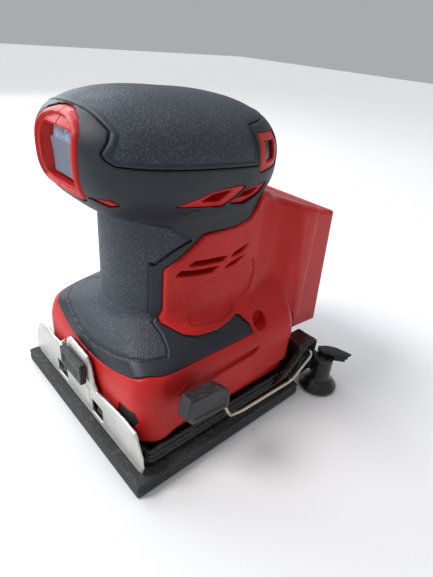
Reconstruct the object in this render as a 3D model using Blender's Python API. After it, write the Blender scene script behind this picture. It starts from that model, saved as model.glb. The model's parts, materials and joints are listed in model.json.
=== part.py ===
"""Cordless quarter-sheet palm sander, as separate parts.

Frame: +X points to the switch end, +Y to the tool's left side, +Z up. The origin is the centre of the
pad's sanding face. Every size below is in millimetres; publish() turns each mesh into metres.
"""

import math

import bmesh
import bpy
from mathutils import Matrix, Vector

# ---- driving dimensions, mm ----
PAD_LENGTH, PAD_WIDTH, PAD_TOP = 104.0, 112.0, 7.2
DECK_BOTTOM, DECK_TOP = 7.5, 12.5
DECK_FRONT, DECK_REAR, DECK_SIDE = 44.6, -46.0, 51.0
BASE_FRONT, BASE_REAR, BASE_SIDE, BASE_BOTTOM = 43.6, -51.0, 48.0, 15.6
BASE_CORNER = 16.0
BASE_WALL_TOP, APRON_TOP = 45.5, 60.0
COLUMN_RADIUS, COLUMN_TOP = 30.4, 112.0
HUMP_FRONT = -14.0
SKIN = 2.0
COLLAR_STEP = 0.8
COLLAR_SKIN = SKIN + COLLAR_STEP
WALL = 2.4
GAP = 0.3
ORBIT = 0.8
GRIP_HALF_WIDTH, GRIP_MIDDLE = 38.0, -1.4
GRIP_REACH_FRONT, GRIP_REACH_REAR = 51.5, 46.6
GRIP_LEVEL, GRIP_TILT, GRIP_NOSE_TILT = 126.4, 0.04, 0.06
GRIP_RISE, GRIP_DROP = 24.3, 26.4
GRIP_SEAM = 129.0
BEZEL_BACK, BEZEL_OUTLINE = 34.0, ((16.2, 116.6), (16.2, 133.5), (14.6, 138.6), (11.6, 142.0), (0.0, 144.4))
POCKET_BACK, POCKET_HALF_WIDTH, POCKET_BOTTOM, POCKET_TOP = 40.4, 10.0, 118.6, 140.6
STEM_TOP, STEM_REAR = 117.0, -34.0
NECK_CREST = (-27.6, 112.0)
NECK_EDGE = ((20.0, 86.0), (4.0, 100.4), (-19.5, 103.7), NECK_CREST, (-57.5, 102.4))
COLLAR_EDGE = ((21.3, 58.0), (21.3, 86.8), (28.4, 98.3), (26.0, 105.0))
FOOT_HALF_WIDTH = 39.0
FOOT_OUTLINE = ((-50.0, 103.5), (-77.0, 97.5), (-82.0, 29.0), (-59.0, 31.0))
CLAMP_FACE, SHEET = 47.3, 1.0
WIRE_RADIUS = 1.25
SHAFT_RADIUS = 3.0
MOTOR_PLATE = (40.0, 43.0)
NOZZLE, NOZZLE_RIM, NOZZLE_NECK, NOZZLE_BORE = (-69.0, 57.0), 12.5, 7.0, 5.2
ROUND = 40

# ---- joint places, mm ----
FRONT_LEVER_PIVOT = (44.9, -16.8, 36.6)
REAR_LEVER_PIVOT = (-60.5, 55.6, 24.3)
ROCKER_PIVOT = (41.5, 0.0, 129.0)


# ---------------------------------------------------------------- scene and materials


def clear_scene():
    for obj in list(bpy.data.objects):
        bpy.data.objects.remove(obj)


def material(name, colour, roughness, metallic=0.0):
    made = bpy.data.materials.new(name)
    made.use_nodes = True
    shader = made.node_tree.nodes["Principled BSDF"]
    shader.inputs["Base Color"].default_value = (*colour, 1.0)
    shader.inputs["Roughness"].default_value = roughness
    shader.inputs["Metallic"].default_value = metallic
    made.diffuse_color = (*colour, 1.0)
    return made


# ---------------------------------------------------------------- mesh helpers, all in mm


def mesh_object(name, points, faces):
    mesh = bpy.data.meshes.new(name)
    mesh.from_pydata([tuple(p) for p in points], [], faces)
    obj = bpy.data.objects.new(name, mesh)
    bpy.context.scene.collection.objects.link(obj)
    outward(obj)
    return obj


def outward(obj):
    shape = bmesh.new()
    shape.from_mesh(obj.data)
    bmesh.ops.recalc_face_normals(shape, faces=shape.faces)
    shape.to_mesh(obj.data)
    shape.free()


def loft(name, rings):
    """A closed skin over rings that all have the same number of points."""
    count = len(rings[0])
    points = [p for ring in rings for p in ring]
    faces = []
    for level in range(len(rings) - 1):
        low, high = level * count, (level + 1) * count
        for i in range(count):
            j = (i + 1) % count
            faces.append((low + i, low + j, high + j, high + i))
    last = (len(rings) - 1) * count
    faces.append(tuple(reversed(range(count))))
    faces.append(tuple(last + i for i in range(count)))
    return mesh_object(name, points, faces)


def prism(name, outline, low, high, axis="Z"):
    """The outline, as pairs, stretched from low to high along an axis."""
    place = {
        "X": lambda a, b, h: (h, a, b),
        "Y": lambda a, b, h: (a, h, b),
        "Z": lambda a, b, h: (a, b, h),
    }[axis]
    return loft(name, [[place(a, b, h) for a, b in outline] for h in (low, high)])


def box(name, low, high, bevel=0.0):
    outline = ((low[0], low[1]), (high[0], low[1]), (high[0], high[1]), (low[0], high[1]))
    obj = prism(name, outline, low[2], high[2])
    return soften(obj, bevel) if bevel else obj


def soften(obj, width, segments=1, angle=40.0):
    shape = bmesh.new()
    shape.from_mesh(obj.data)
    sharp = [e for e in shape.edges if e.is_manifold and e.calc_face_angle() > math.radians(angle)]
    bmesh.ops.bevel(shape, geom=sharp, offset=width, segments=segments, profile=0.5,
                    affect="EDGES", clamp_overlap=True)
    shape.to_mesh(obj.data)
    shape.free()
    return obj


def circle(radius, count=ROUND, centre=(0.0, 0.0), start=0.0):
    turns = [start + 2 * math.pi * i / count for i in range(count)]
    return [(centre[0] + radius * math.cos(t), centre[1] + radius * math.sin(t)) for t in turns]


def turned(name, profile, count=ROUND, centre=(0.0, 0.0)):
    """A closed profile of (radius, height) turned about a vertical axis; it stays off the axis."""
    rings = [[(x, y, z) for x, y in circle(r, count, centre)] for r, z in profile]
    points = [p for ring in rings for p in ring]
    faces = []
    for level in range(len(rings)):
        low, high = level * count, ((level + 1) % len(rings)) * count
        for i in range(count):
            j = (i + 1) % count
            faces.append((low + i, low + j, high + j, high + i))
    return mesh_object(name, points, faces)


def ring_part(name, inner, outer, low, high, count=ROUND, centre=(0.0, 0.0)):
    profile = ((inner, low), (outer, low), (outer, high), (inner, high))
    return turned(name, profile, count, centre)


def rod(name, points, radius, sides=8):
    """A round bar along a path of points."""
    path = [Vector(p) for p in points]
    side = None
    rings = []
    for i, here in enumerate(path):
        ahead = path[min(i + 1, len(path) - 1)] - path[max(i - 1, 0)]
        ahead.normalize()
        if side is None:
            side = ahead.orthogonal()
        side = (side - ahead * side.dot(ahead)).normalized()
        other = ahead.cross(side)
        turns = [2 * math.pi * k / sides for k in range(sides)]
        rings.append([here + radius * (side * math.cos(t) + other * math.sin(t)) for t in turns])
    return loft(name, rings)


def bent(points, radius, steps=3):
    """The path with each inner corner rounded."""
    path = [Vector(p) for p in points]
    made = [path[0]]
    for before, corner, after in zip(path, path[1:], path[2:]):
        back = (before - corner)
        ahead = (after - corner)
        reach = min(radius, back.length * 0.45, ahead.length * 0.45)
        start = corner + back.normalized() * reach
        end = corner + ahead.normalized() * reach
        for k in range(steps + 1):
            t = k / steps
            made.append(start * (1 - t) ** 2 + corner * 2 * t * (1 - t) + end * t**2)
    made.append(path[-1])
    return made


def combine(obj, other, operation):
    """Boolean of two meshes; the second one is used up. EXACT loses the nested forms of the housing."""
    step = obj.modifiers.new(operation, "BOOLEAN")
    step.operation = operation
    step.object = other
    step.solver = "MANIFOLD"
    graph = bpy.context.evaluated_depsgraph_get()
    result = bpy.data.meshes.new_from_object(obj.evaluated_get(graph))
    obj.modifiers.clear()
    obj.data = result
    bpy.data.objects.remove(other)
    return obj


def cut(obj, *cutters):
    for cutter in cutters:
        combine(obj, cutter, "DIFFERENCE")
    return obj


def join(obj, *others):
    for other in others:
        combine(obj, other, "UNION")
    return obj


def keep(obj, other):
    return combine(obj, other, "INTERSECT")


def publish(obj, name, finish, smooth_angle=35.0):
    """Gives the part its name and material, and turns its mesh from millimetres into metres."""
    obj.name = name
    obj.data.name = name
    obj.data.materials.clear()
    obj.data.materials.append(finish)
    shape = bmesh.new()
    shape.from_mesh(obj.data)
    bmesh.ops.remove_doubles(shape, verts=shape.verts, dist=0.004)
    bmesh.ops.dissolve_degenerate(shape, edges=shape.edges, dist=0.004)
    bmesh.ops.dissolve_limit(shape, angle_limit=math.radians(0.5), verts=shape.verts, edges=shape.edges)
    bmesh.ops.triangulate(shape, faces=shape.faces)
    shape.to_mesh(obj.data)
    shape.free()
    obj.data.transform(Matrix.Scale(0.001, 4))
    obj.data.shade_smooth()
    obj.data.set_sharp_from_angle(angle=math.radians(smooth_angle))
    return obj


def pivot(name, place, moving, parent=None):
    """An empty on a joint's axis that carries the pieces which turn or slide there."""
    empty = bpy.data.objects.new(name, None)
    bpy.context.scene.collection.objects.link(empty)
    at = Vector(place) * 0.001
    base = Vector((0, 0, 0))
    if parent:
        empty.parent = parent
        base = Vector(parent["place"])
    empty.location = at - base
    empty["place"] = tuple(at)
    for obj in moving:
        obj.parent = empty
        obj.location = -at
    return empty


# ---------------------------------------------------------------- outer forms, each with an inset


def rounded_rectangle(x0, x1, half, radius, steps=4):
    made = []
    corners = ((x1, half, 0), (x0, half, 90), (x0, -half, 180), (x1, -half, 270))
    for x, y, first in corners:
        cx = x - math.copysign(radius, x - (x0 + x1) / 2)
        cy = y - math.copysign(radius, y)
        for k in range(steps + 1):
            t = math.radians(first + 90 * k / steps)
            made.append((cx + radius * math.cos(t), cy + radius * math.sin(t)))
    return made


def base_form(inset, bottom=BASE_BOTTOM):
    """The lower body: upright walls, a rounded shoulder and a slope up to the column."""
    levels = ((0.0, bottom), (0.0, BASE_WALL_TOP), (1.6, BASE_WALL_TOP + 2.4), (5.0, BASE_WALL_TOP + 4.6),
              (11.0, APRON_TOP - 3.5), (14.5, APRON_TOP))
    rings = []
    for step, z in levels:
        into = step + inset
        height = z - (inset if z > BASE_WALL_TOP else 0.0)
        outline = rounded_rectangle(BASE_REAR + into, BASE_FRONT - into, BASE_SIDE - into,
                                    max(BASE_CORNER + 0.9 * step - 0.5 * inset, 2.0))
        rings.append([(x, y, height) for x, y in outline])
    return loft("base_form", rings)


def column_form(inset, low=APRON_TOP - 8.0, high=COLUMN_TOP):
    rings = [[(x, y, z) for x, y in circle(COLUMN_RADIUS - inset)] for z in (low, high)]
    return loft("column_form", rings)


def hump_form(inset):
    """The rear of the lower body: its sides lean inwards above the wall, up to the neck."""
    levels = ((0.0, BASE_BOTTOM), (0.0, BASE_WALL_TOP), (2.0, 49.5), (10.0, 59.0), (16.0, 68.0))
    rings = []
    for step, z in levels:
        height = z - (inset if step else 0.0)
        front = HUMP_FRONT - step - inset
        outline = rounded_rectangle(BASE_REAR + inset, front, BASE_SIDE - step - inset, 5.0, 3)
        rings.append([(x, y, height) for x, y in outline])
    return loft("hump_form", rings)


def neck_half(inset):
    """Plan of the red side panel and neck, from the column back to the foot, left side."""
    start, end = 52.0, 88.0
    turns = [math.radians(start + (end - start) * k / 5) for k in range(6)]
    out = COLUMN_RADIUS + 1.4 - inset
    arc = [(out * math.cos(t), out * math.sin(t)) for t in turns]
    rear = [(-12.0, 33.0 - inset), (-26.0, 33.2 - inset), (-34.0, 31.4 - inset), (-40.0, 30.8 - inset),
            (-46.0, 32.6 - inset), (-51.5, 37.4 - inset), (-57.0 + inset, 37.4 - inset)]
    return arc + rear


def neck_form(inset):
    """Neck and side panels together, as sections across X; the top edge climbs from the column to the grip."""
    rings = []
    for x, half in neck_half(inset):
        top = neck_top(x) - inset
        chamfer = 0.8 if x > NECK_CREST[0] else 2.6
        side = ((half, 52.0 + inset), (half, top - 2 * chamfer), (half - chamfer, top - chamfer),
                (half - 3 * chamfer, top))
        rings.append([(x, y, z) for y, z in side] + [(x, -y, z) for y, z in reversed(side)])
    return loft("neck_form", rings)


def neck_top(x):
    """Height of the neck's upper edge, from the front of the side panel to the foot."""
    for (x0, z0), (x1, z1) in zip(NECK_EDGE, NECK_EDGE[1:]):
        if x >= x1:
            return z0 + (z1 - z0) * (x0 - x) / (x0 - x1)
    return NECK_EDGE[-1][1]


def stem_form(inset, low=80.0):
    """The upper end of the column, drawn out to the rear under the grip."""
    out = COLUMN_RADIUS + COLLAR_STEP - inset
    turns = [math.radians(75.0 * k / 8) for k in range(1, 9)]
    left = [(out * math.cos(t), out * math.sin(t)) for t in turns]
    left += [(0.0, 31.4 - inset), (-12.0, 32.4 - inset), (-22.0, 32.6 - inset),
             (STEM_REAR + 5.0 + inset, 29.0 - inset), (STEM_REAR + inset, 20.0 - inset)]
    plan = [(out, 0.0)] + left + [(x, -y) for x, y in reversed(left)]
    return prism("stem_form", plan, low, STEM_TOP)


def foot_form(inset):
    (ax, az), (bx, bz), (cx, cz), (dx, dz) = FOOT_OUTLINE
    outline = ((ax - inset, az - inset), (bx + inset, bz - inset), (cx + inset, cz + inset),
               (dx - inset, dz + inset))
    form = prism("foot_form", outline, -(FOOT_HALF_WIDTH - inset), FOOT_HALF_WIDTH - inset, "Y")
    return soften(form, 2.2, 2)


def grip_form(inset, stations=13, count=32):
    """The palm grip: sections across X, each a super-ellipse."""
    rings = []
    for i in range(stations):
        u = math.sin(0.97 * math.pi * (i / (stations - 1) - 0.5))
        reach, plan, profile = (GRIP_REACH_FRONT, 3.1, 2.6) if u > 0 else (GRIP_REACH_REAR, 2.5, 2.65)
        x = GRIP_MIDDLE + u * (reach - inset)
        level = GRIP_LEVEL + x * (GRIP_NOSE_TILT if x > 0 else GRIP_TILT)
        half = max(GRIP_HALF_WIDTH * (1 - abs(u) ** plan) ** (1 / plan) - inset, 3.0 - 0.5 * inset)
        share = (1 - abs(u) ** profile) ** (1 / profile)
        ring = []
        for k in range(count):
            c, s = math.cos(2 * math.pi * k / count), math.sin(2 * math.pi * k / count)
            power = 2 / 2.31
            height = max((GRIP_RISE if s >= 0 else GRIP_DROP) * share - inset, 3.0 - 0.5 * inset)
            ring.append((x, half * math.copysign(abs(c) ** power, c),
                         level + height * math.copysign(abs(s) ** power, s)))
        rings.append(ring)
    return loft("grip_form", rings)


def bezel_room(inset):
    """The block of space at the front of the grip that the red bezel fills."""
    left = [(y - inset, z + (inset if z < GRIP_LEVEL else -inset)) for y, z in BEZEL_OUTLINE[:-1]]
    top = (0.0, BEZEL_OUTLINE[-1][1] - inset)
    outline = left + [top] + [(-y, z) for y, z in reversed(left)]
    return prism("bezel_room", outline, BEZEL_BACK + inset, 70.0, "X")


# ---------------------------------------------------------------- housing and skins


def pocket_form(inset, back):
    """The pocket for the switch rocker, in the front of the grip."""
    half = POCKET_HALF_WIDTH - inset
    return box("pocket", (back, -half, POCKET_BOTTOM + inset), (60.0, half, POCKET_TOP - inset))


def housing_outer():
    core = base_form(0.0)
    cut(core, box("above", (-70, -70, BASE_WALL_TOP + 0.1), (70, 70, 80)))
    under_apron = base_form(SKIN + GAP)
    join(core, under_apron, hump_form(0.0), column_form(SKIN), neck_form(0.0), foot_form(0.0))
    join(core, stem_form(COLLAR_SKIN), grip_form(SKIN + GAP), keep(grip_form(0.0), bezel_room(0.0)))
    return core


def housing_whole():
    """Both halves in one: the outer form less the cavity, with the switch pocket and battery mouth."""
    whole = cut(housing_outer(), housing_cavity())
    pocket = keep(keep(grip_form(0.6), bezel_room(0.0)), pocket_form(-WALL, POCKET_BACK - WALL))
    join(whole, pocket)
    return cut(whole, pocket_form(0.0, POCKET_BACK), battery_window())


def housing_cavity():
    inner = base_form(SKIN + GAP + WALL, bottom=BASE_BOTTOM - 5)
    join(inner, column_form(SKIN + WALL, low=50.0, high=112.0))
    join(inner, grip_form(SKIN + GAP + WALL))
    neck = box("neck_cavity", (-58.0, -27.0, 62.0), (-8.0, 27.0, 96.0))
    side_view = ((-55.0, 97.0), (-74.6, 92.5), (-79.0, 35.0), (-61.5, 36.5))
    foot = prism("foot_cavity", side_view, -34.0, 34.0, "Y")
    return join(inner, neck, foot)


def battery_window():
    """The mouth in the foot's rear face that the battery's tower and rails fill."""
    side_view = ((-71.0, 91.0), (-90.0, 88.0), (-92.0, 38.0), (-74.5, 39.0))
    return prism("battery_window", side_view, -28.0, 28.0, "Y")


def side_vents(side):
    """Four slanted air slots in the side panel, two rows of two."""
    slots = []
    for x0, x1, z0, z1 in ((2.0, 13.5, 88.0, 85.5), (-14.0, -2.5, 91.0, 88.4),
                           (5.0, 18.5, 83.4, 81.0), (-13.5, 0.5, 86.6, 84.0)):
        outline = ((x0, z0 - 1.1), (x1, z1 - 1.1), (x1, z1 + 1.1), (x0, z0 + 1.1))
        near, far = sorted((side * 20.0, side * 40.0))
        slots.append(prism("slot", outline, near, far, "Y"))
    return slots


def housing_half(side, whole, finish):
    name = "housing_left" if side > 0 else "housing_right"
    half = mesh_object(name, [tuple(v.co) for v in whole.data.vertices],
                       [tuple(p.vertices) for p in whole.data.polygons])
    near, far = (GAP / 2, 80.0) if side > 0 else (-80.0, -GAP / 2)
    keep(half, box("half", (-100, near, 0), (100, far, 170)))
    cut(half, *side_vents(side))
    groove = prism("groove", ((21.5, 37.2), (24.5, 34.6), (-22.0, 38.0), (-25.0, 41.0)),
                   *sorted((side * 46.6, side * 60.0)), "Y")
    cut(half, groove)
    return publish(half, name, finish)


def apron_skin(finish):
    skin = cut(base_form(0.0), base_form(SKIN, bottom=BASE_BOTTOM - 2))
    cut(skin, box("below", (-70, -70, 0), (70, 70, BASE_WALL_TOP + 0.1 + GAP)))
    cut(skin, box("rear", (-80, -70, 0), (HUMP_FRONT + 0.4, 70, 90)))
    cut(skin, column_form(-GAP, 40, 90))
    left = neck_half(-GAP)
    plan = left + [(x, -y) for x, y in reversed(left)]
    cut(skin, prism("panel_room", plan, 51.5, 90.0))
    return publish(skin, "base_apron_grip", finish)


def collar_edge_form(inset):
    """The front of the column up to the groove where the smooth collar starts, seen along X."""
    left = [(y - inset, z - (inset if z > 100.0 else 0.0)) for y, z in COLLAR_EDGE]
    return prism("collar_edge", left + [(-y, z) for y, z in reversed(left)], 4.0, 60.0, "X")


def column_skin(finish):
    """The textured wrap on the front of the column, below the collar's groove."""
    skin = ring_part("skin", COLUMN_RADIUS - SKIN + GAP, COLUMN_RADIUS, APRON_TOP + GAP, 110.0)
    keep(skin, collar_edge_form(GAP / 2))
    cut(skin, neck_form(-GAP))
    return publish(skin, "column_grip", finish)


def collar(finish):
    """The smooth black collar under the grip, with a strip down each side of the column."""
    wrap = cut(stem_form(0.0), stem_form(COLLAR_SKIN - GAP, low=70.0))
    strip = ring_part("strip", COLUMN_RADIUS - SKIN + GAP, COLUMN_RADIUS + 0.5, APRON_TOP + GAP, 92.0)
    keep(strip, box("front", (4.0, -60, 50), (60, 60, 120)))
    join(wrap, strip)
    cut(wrap, box("rear", (-60, -60, 50), (STEM_REAR + 8.0, 60, 130)))
    cut(wrap, collar_edge_form(-GAP / 2), neck_form(-GAP), grip_form(-GAP))
    return publish(wrap, "grip_collar", finish)


def grip_skin(top, finish):
    skin = cut(grip_form(0.0), grip_form(SKIN))
    cut(skin, bezel_room(-GAP))
    if top:
        cut(skin, box("below", (-90, -60, 80), (90, 60, GRIP_SEAM + GAP / 2)))
    else:
        cut(skin, box("above", (-90, -60, GRIP_SEAM - GAP / 2), (90, 60, 170)))
        cut(skin, stem_form(-1.2), neck_form(-GAP))
    return publish(skin, "grip_top" if top else "grip_side_band", finish)


# ---------------------------------------------------------------- switch


def switch_parts(finishes):
    outline = ((41.0, 140.2), (46.0, 139.4), (47.0, 134.5), (46.0, 132.0), (46.8, 130.8), (47.2, 125.0),
               (46.0, 119.6), (42.0, 119.2))
    rocker = publish(prism("rocker", outline, -8.4, 8.4, "Y"), "switch_rocker", finishes["rocker"])
    body = box("body", (24.0, -7.5, 119.5), (POCKET_BACK - WALL - GAP, 7.5, 138.5), 0.6)
    module = publish(body, "switch_module", finishes["nylon"])
    return rocker, module


# ---------------------------------------------------------------- drive


def drive_parts(finishes):
    made = {}
    top_of_rotor = 99.0
    shaft = loft("shaft", [[(x, y, z) for x, y in circle(SHAFT_RADIUS, 20)] for z in (25.0, 113.0)])
    flange = loft("flange", [[(x, y, z) for x, y in circle(7.0, 20)] for z in (23.0, 26.5)])
    pin = loft("pin", [[(x, y, z) for x, y in circle(4.0, 20, (-ORBIT, 0.0))] for z in (12.9, 24.0)])
    made["motor_shaft"] = publish(join(shaft, flange, pin), "motor_shaft", finishes["steel"])
    poles = 14
    outline = []
    for k in range(poles):
        t = 2 * math.pi * k / poles
        for turn, reach in ((0.0, 12.4), (0.62, 12.4), (0.68, 11.2), (0.94, 11.2)):
            angle = t + turn * 2 * math.pi / poles
            outline.append((reach * math.cos(angle), reach * math.sin(angle)))
    rotor = prism("rotor", outline, 56.0, top_of_rotor)
    cut(rotor, loft("bore", [[(x, y, z) for x, y in circle(SHAFT_RADIUS + 0.15, 20)] for z in (50, 110)]))
    made["motor_rotor"] = publish(rotor, "motor_rotor", finishes["steel"])
    blades = 9
    outline = []
    for k in range(blades):
        t = 2 * math.pi * k / blades
        for turn, reach in ((0.0, 14.0), (0.32, 33.0), (0.42, 33.0), (0.12, 14.0)):
            angle = t + turn
            outline.append((reach * math.cos(angle), reach * math.sin(angle)))
    fan = join(loft("hub", [[(x, y, z) for x, y in circle(33.6, 36)] for z in (27.0, 28.6)]),
               loft("hub", [[(x, y, z) for x, y in circle(9.0, 24)] for z in (27.5, 35.5)]),
               prism("blades", outline, 28.0, 34.5))
    cut(fan, loft("bore", [[(x, y, z) for x, y in circle(SHAFT_RADIUS + 0.15, 20)] for z in (20, 40)]))
    made["dust_fan"] = publish(fan, "dust_fan", finishes["nylon"])
    turns = [math.radians(-80 + 160 * k / 10) for k in range(11)]
    weight = prism("weight", [(24.0 * math.cos(t), 24.0 * math.sin(t)) for t in turns]
                   + [(9.6 * math.cos(t), 9.6 * math.sin(t)) for t in reversed(turns)], 23.2, 26.6)
    made["counterweight"] = publish(weight, "counterweight", finishes["steel"])
    return made


def drive_seats(finishes):
    made = {}
    margin = SKIN + GAP + WALL + 0.4
    plate = prism("plate", rounded_rectangle(BASE_REAR + margin, BASE_FRONT - margin, BASE_SIDE - margin,
                                             BASE_CORNER - 2.0, 3), *MOTOR_PLATE)
    cut(plate, loft("bore", [[(x, y, z) for x, y in circle(11.3, 36)] for z in (30.0, 50.0)]))
    boss = ring_part("boss", 11.3, 14.0, 42.0, 48.6, 36)
    made["motor_plate"] = publish(join(plate, boss), "motor_plate", finishes["alloy"])
    made["lower_bearing"] = publish(ring_part("b", SHAFT_RADIUS + 0.15, 11.0, 40.8, 47.8, 32),
                                    "lower_bearing", finishes["steel"])
    poles = 12
    outline = []
    for k in range(poles):
        t = 2 * math.pi * k / poles
        for turn, reach in ((0.0, 13.2), (0.7, 13.2), (0.7, 20.0), (1.0, 20.0)):
            angle = t + turn * 2 * math.pi / poles
            outline.append((reach * math.cos(angle), reach * math.sin(angle)))
    stator = loft("stator", [[(x, y, z) for x, y in circle(25.0, 36)] for z in (58.0, 97.0)])
    cut(stator, prism("slots", outline, 50.0, 110.0))
    made["motor_stator"] = publish(stator, "motor_stator", finishes["copper"])
    carrier = join(ring_part("plate", 8.4, 25.6, 101.0, 103.0, 36),
                   ring_part("cup", 8.4, 11.0, 102.0, 110.4, 36))
    made["upper_bearing_bracket"] = publish(carrier, "upper_bearing_bracket", finishes["nylon"])
    made["upper_bearing"] = publish(ring_part("b", SHAFT_RADIUS + 0.15, 8.1, 103.5, 109.8, 28),
                                    "upper_bearing", finishes["steel"])
    return made


# ---------------------------------------------------------------- battery foot and electronics


def electrics(finishes):
    made = {}
    board = box("board", (-32.0, -18.0, 116.0), (20.0, 18.0, 117.6))
    made["control_board"] = publish(board, "control_board", finishes["board"])
    block = box("block", (-74.0, -17.0, 60.0), (-63.0, 17.0, 84.0), 1.0)
    made["terminal_block"] = publish(block, "terminal_block", finishes["nylon"])
    for k, y in enumerate((-12.0, -4.0, 4.0, 12.0)):
        blade = box("blade", (-81.0, y - 0.5, 64.0), (-74.3, y + 0.5, 80.0))
        made[f"battery_contact_{k + 1}"] = publish(blade, f"battery_contact_{k + 1}", finishes["brass"])
    for name, side in (("battery_rail_left", 1), ("battery_rail_right", -1)):
        near, far = sorted((side * 23.0, side * 27.7))
        rail = prism(name, ((-76.5, 88.0), (-79.4, 87.6), (-81.6, 41.4), (-79.2, 41.4)), near, far, "Y")
        made[name] = publish(rail, name, finishes["steel"])
    return made


# ---------------------------------------------------------------- pad assembly


def pad_parts(finishes):
    made = {}
    foam = box("pad", (-PAD_LENGTH / 2, -PAD_WIDTH / 2, 0.0), (PAD_LENGTH / 2, PAD_WIDTH / 2, PAD_TOP))
    made["foam_pad"] = publish(foam, "foam_pad", finishes["foam"])
    deck = prism("deck", rounded_rectangle(DECK_REAR, DECK_FRONT, DECK_SIDE, 6.0, 3), DECK_BOTTOM, DECK_TOP)
    boss = loft("boss", [[(x, y, z) for x, y in circle(14.5, 32, (-ORBIT, 0.0))] for z in (10.0, 22.4)])
    seat = loft("seat", [[(x, y, z) for x, y in circle(11.3, 32, (-ORBIT, 0.0))] for z in (12.6, 30.0)])
    made["platen"] = publish(cut(join(deck, boss), seat), "platen", finishes["gloss"])
    bearing = ring_part("b", 4.15, 11.0, 13.2, 21.8, 32, (-ORBIT, 0.0))
    made["eccentric_bearing"] = publish(bearing, "eccentric_bearing", finishes["steel"])
    return made


def spool(levels, count=28):
    return loft("spool", [[(x, y, z) for x, y in circle(r, count, NOZZLE)] for r, z in levels])


def duct_parts(finishes):
    """The dust duct at the pad's rear left corner, with its flared nozzle, and the hose flange round it."""
    side_view = ((-36.0, 12.9), (-49.0, 22.0), (-54.5, 29.0), (-64.0, 29.9), (-65.8, 28.4), (-65.8, 9.6),
                 (-52.8, 9.6), (-52.8, 12.9))
    duct = prism("wall", side_view, 49.6, 53.0, "Y")
    join(duct, box("chamber", (-65.8, 41.0, 9.6), (-52.8, 51.0, 29.8)))
    bell = ((NOZZLE_RIM, 1.0), (NOZZLE_RIM, 2.6), (9.4, 6.4), (NOZZLE_NECK, 9.6), (NOZZLE_NECK, 25.3))
    join(duct, spool(bell))
    cut(duct, box("hollow", (-64.2, 42.6, 11.6), (-54.4, 51.4, 27.4)))
    cut(duct, spool(((NOZZLE_BORE, -2.0), (NOZZLE_BORE, 23.6))))
    x, _, z = REAR_LEVER_PIVOT
    eye = circle(WIRE_RADIUS + GAP, 12, (x, z))
    cut(duct, prism("eye", eye, 50.0, 60.0, "Y"))
    made = {"dust_duct": publish(duct, "dust_duct", finishes["gloss"])}
    rim = ((-66.4, 65.2), (-66.4, 70.0), (-70.0, 72.0), (-75.0, 71.6), (-80.0, 68.0), (-82.0, 61.0),
           (-79.0, 52.0), (-73.0, 46.5), (-66.4, 46.5), (-66.4, 48.0))
    low = [(a, b, 21.6 + 0.15 * (a + 66.0)) for a, b in rim]
    high = [(a, b, 28.4 + 0.15 * (a + 66.0)) for a, b in rim]
    flange = loft("flange", [low, high])
    cut(flange, spool(((NOZZLE_NECK + GAP, 0.0), (NOZZLE_NECK + GAP, 25.6))))
    cut(flange, box("relief", (-67.2, 40.0, 0.0), (-60.0, 60.0, 40.0)))
    made["hose_flange"] = publish(flange, "hose_flange", finishes["black"])
    return made


# ---------------------------------------------------------------- paper clamps and levers


def front_plate(finishes):
    edge = ((-54.0, 8.0), (51.5, 8.0), (52.5, 12.0), (52.5, 18.0), (50.5, 22.5), (47.0, 25.5), (32.0, 28.0),
            (17.0, 29.6), (13.0, 32.0), (11.5, 36.0), (8.0, 39.0), (-12.0, 41.0), (-14.4, 38.6),
            (-15.0, 33.6), (-18.0, 31.4), (-22.0, 28.6), (-33.0, 28.4), (-37.0, 31.0), (-47.0, 31.0),
            (-52.0, 28.0), (-54.0, 22.0))
    plate = prism("plate", edge, CLAMP_FACE - SHEET, CLAMP_FACE, "X")
    for low, high in ((-23.0, -12.5), (16.0, 27.0)):
        cut(plate, box("window", (40, low, 10.4), (60, high, 19.0)))
    return publish(plate, "front_clamp_plate", finishes["zinc"])


def front_lever(finishes):
    x, y, z = FRONT_LEVER_PIVOT
    path = bent(((x, y, 13.4), (x, y, z), (x + 5.0, y + 1.4, z), (x + 5.4, y + 8.0, z)), 2.0)
    wire = rod("wire", path, 1.0, 8)
    tip = box("tip", (48.0, -13.8, 26.6), (52.0, 8.0, 38.6), 0.9)
    slot = rod("slot", path, 1.0 + GAP, 8)
    cut(tip, slot)
    return (publish(wire, "front_lever_wire", finishes["steel"]),
            publish(tip, "front_lever_tip", finishes["black"]))


def rear_plate(finishes):
    outline = ((-51.6, 7.6), (-51.6, 8.8), (-52.8, 9.4), (-52.8, 20.0), (-53.8, 20.0), (-53.8, 7.6))
    plate = prism("plate", outline, -53.0, 39.6, "Y")
    return publish(plate, "rear_clamp_plate", finishes["zinc"])


def rear_lever(finishes):
    x, y, z = REAR_LEVER_PIVOT
    path = bent(((x, 47.0, z), (x, y, z), (-46.5, 54.6, 9.9), (-7.0, 54.6, 10.2), (-2.0, 56.8, 13.4),
                 (3.2, 57.8, 24.0), (9.0, 57.8, 32.0), (24.0, 57.8, 37.0)), 3.0)
    wire = rod("wire", path, WIRE_RADIUS, 8)
    side_view = ((4.4, 24.4), (28.0, 30.0), (32.4, 37.0), (30.0, 47.0), (9.0, 42.0), (3.2, 36.0))
    tip = prism("tip", side_view, 54.4, 61.2, "Y")
    soften(tip, 1.2)
    cut(tip, rod("slot", path, WIRE_RADIUS + GAP, 8))
    return (publish(wire, "rear_lever_wire", finishes["steel"]),
            publish(tip, "rear_lever_grip", finishes["black"]))


# ---------------------------------------------------------------- supports, seals and screws


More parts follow.
